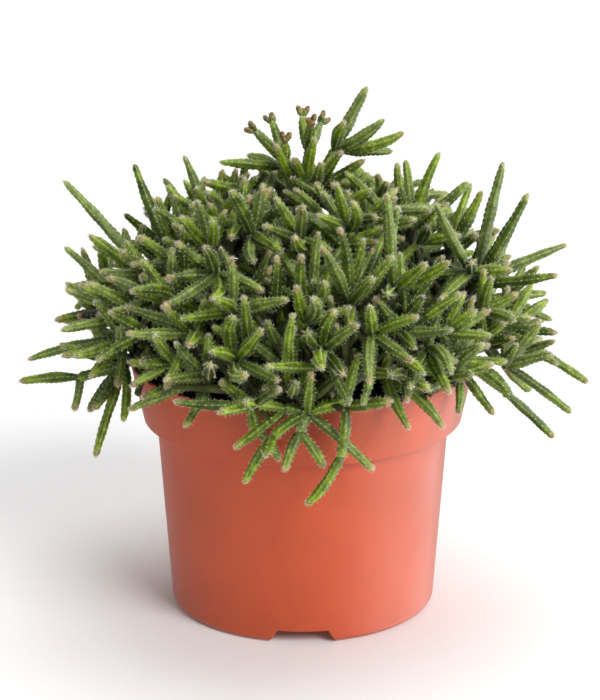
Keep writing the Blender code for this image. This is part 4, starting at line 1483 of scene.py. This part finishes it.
class CACTUS_OT_bristles(bpy.types.Operator):
    """Model the bristles that grow from every shoot's areoles"""

    bl_idname = "cactus.bristles"
    bl_label = "Bristles"

    def execute(self, context):
        settings = context.scene.cactus_bristles
        needle = model_bristle()
        look = hair(settings)
        for name, stems in dressed_by_shoot(context.scene.cactus_stems).items():
            copies = [bristles_of(stem, needle, settings) for stem in stems if stem.has_bristles]
            place_piece(fused("bristles_" + name, copies, BRISTLE_VALUES), look, "stems")
        return {"FINISHED"}


class CACTUS_OT_studio(bpy.types.Operator):
    """Set the floor, the lights and the camera"""

    bl_idname = "cactus.studio"
    bl_label = "Studio"

    def execute(self, context):
        settings = context.scene.cactus_studio
        make_floor(settings)
        make_sky(settings)
        make_lights(settings)
        make_camera(settings)
        return {"FINISHED"}


def make_floor(settings):
    floor = added(bpy.ops.mesh.primitive_plane_add, size=6)
    floor.name = "floor"
    made, tree, shader = new_material("studio_floor", 0.9, 0.2)
    colour = grouped(tree, "Mottle", Colour=settings.floor_colour, Scale=3.0, Amount=0.01)
    join(tree, shader.inputs["Base Color"], colour)
    floor.data.materials.append(made)
    floor.visible_shadow = False
    floor.visible_glossy = False


def make_sky(settings):
    """An even white sky, brighter to the camera than it is to the plant."""
    world = bpy.data.worlds.new("studio")
    world.use_nodes = True
    tree = world.node_tree
    background = tree.nodes["Background"]
    background.inputs["Color"].default_value = (1, 1, 1, 1)
    seen = node(tree, "LightPath").outputs["Is Camera Ray"]
    strength = node(tree, "MapRange", {"Value": seen, "To Min": settings.sky, "To Max": 1.0})
    tree.links.new(strength.outputs["Result"], background.inputs["Strength"])
    bpy.context.scene.world = world


def make_lights(settings):
    """Wide soft lights: the key from the right in front, the others on the left, above and right.

    The last one stands low and only shines on glossy surfaces, as a soft box does there. So that it
    does, the floor neither shades it nor shows in them.
    """
    lights = (
        ("key", (0.75, -0.9, 0.85), 30, settings.key, True),
        ("fill", (-1.0, -0.8, 0.5), 70, 0.04 * settings.key, True),
        ("top", (0.15, 0.25, 1.0), 50, 0.75 * settings.key, True),
        ("side", (1.0, 0.25, 0.1), 40, 0.2 * settings.key, True),
        ("shine", (1.0, 0.1, -0.2), 90, 1.6 * settings.key, False),
    )
    for name, side, width, strength, is_diffuse in lights:
        data = bpy.data.lights.new(name, "SUN")
        data.angle = math.radians(width)
        data.energy = strength
        light = bpy.data.objects.new(name, data)
        light.visible_diffuse = is_diffuse
        light.rotation_euler = (-Vector(side)).to_track_quat("-Z", "Y").to_euler()
        bpy.context.scene.collection.objects.link(light)


def make_camera(settings):
    """The photograph's view: looking along +Y and a little down on the plant."""
    data = bpy.data.cameras.new("camera")
    data.lens = CAMERA_LENS
    data.shift_x = CAMERA_SHIFT[0]
    data.shift_y = CAMERA_SHIFT[1]
    camera = bpy.data.objects.new("camera", data)
    back = settings.distance * math.cos(settings.elevation)
    camera.location = (0, -back, CAMERA_TARGET + settings.distance * math.sin(settings.elevation))
    camera.rotation_euler = (math.pi / 2 - settings.elevation, 0, 0)
    bpy.context.scene.collection.objects.link(camera)
    bpy.context.scene.camera = camera
    bpy.context.scene.view_settings.view_transform = "Standard"


class CACTUS_PT_panel(bpy.types.Panel):
    """The plant's pieces and their settings"""

    bl_idname = "CACTUS_PT_panel"
    bl_label = "Mistletoe cactus"
    bl_space_type = "VIEW_3D"
    bl_region_type = "UI"
    bl_category = "Cactus"

    def draw(self, context):
        for operator, name in PANEL_ROWS:
            box = self.layout.box()
            box.operator(operator.bl_idname)
            settings = getattr(context.scene, name)
            for field in settings.__annotations__:
                box.prop(settings, field)


SETTINGS = {
    "cactus_pot": PotSettings,
    "cactus_soil": SoilSettings,
    "cactus_stems": StemSettings,
    "cactus_bristles": BristleSettings,
    "cactus_studio": StudioSettings,
}
OPERATORS = (CACTUS_OT_pot, CACTUS_OT_soil, CACTUS_OT_stems, CACTUS_OT_bristles, CACTUS_OT_studio)
PANEL_ROWS = tuple(zip(OPERATORS, SETTINGS))


def register():
    for name, group in SETTINGS.items():
        bpy.utils.register_class(group)
        setattr(bpy.types.Scene, name, PointerProperty(type=group))
    for operator in OPERATORS:
        bpy.utils.register_class(operator)
    bpy.utils.register_class(CACTUS_PT_panel)


def unregister():
    bpy.utils.unregister_class(CACTUS_PT_panel)
    for operator in reversed(OPERATORS):
        bpy.utils.unregister_class(operator)
    for name, group in reversed(SETTINGS.items()):
        delattr(bpy.types.Scene, name)
        bpy.utils.unregister_class(group)


def main():
    register()
    bpy.ops.cactus.pot()
    bpy.ops.cactus.soil()
    bpy.ops.cactus.stems()
    bpy.ops.cactus.bristles()
    bpy.ops.cactus.studio()


if __name__ == "__main__":
    main()
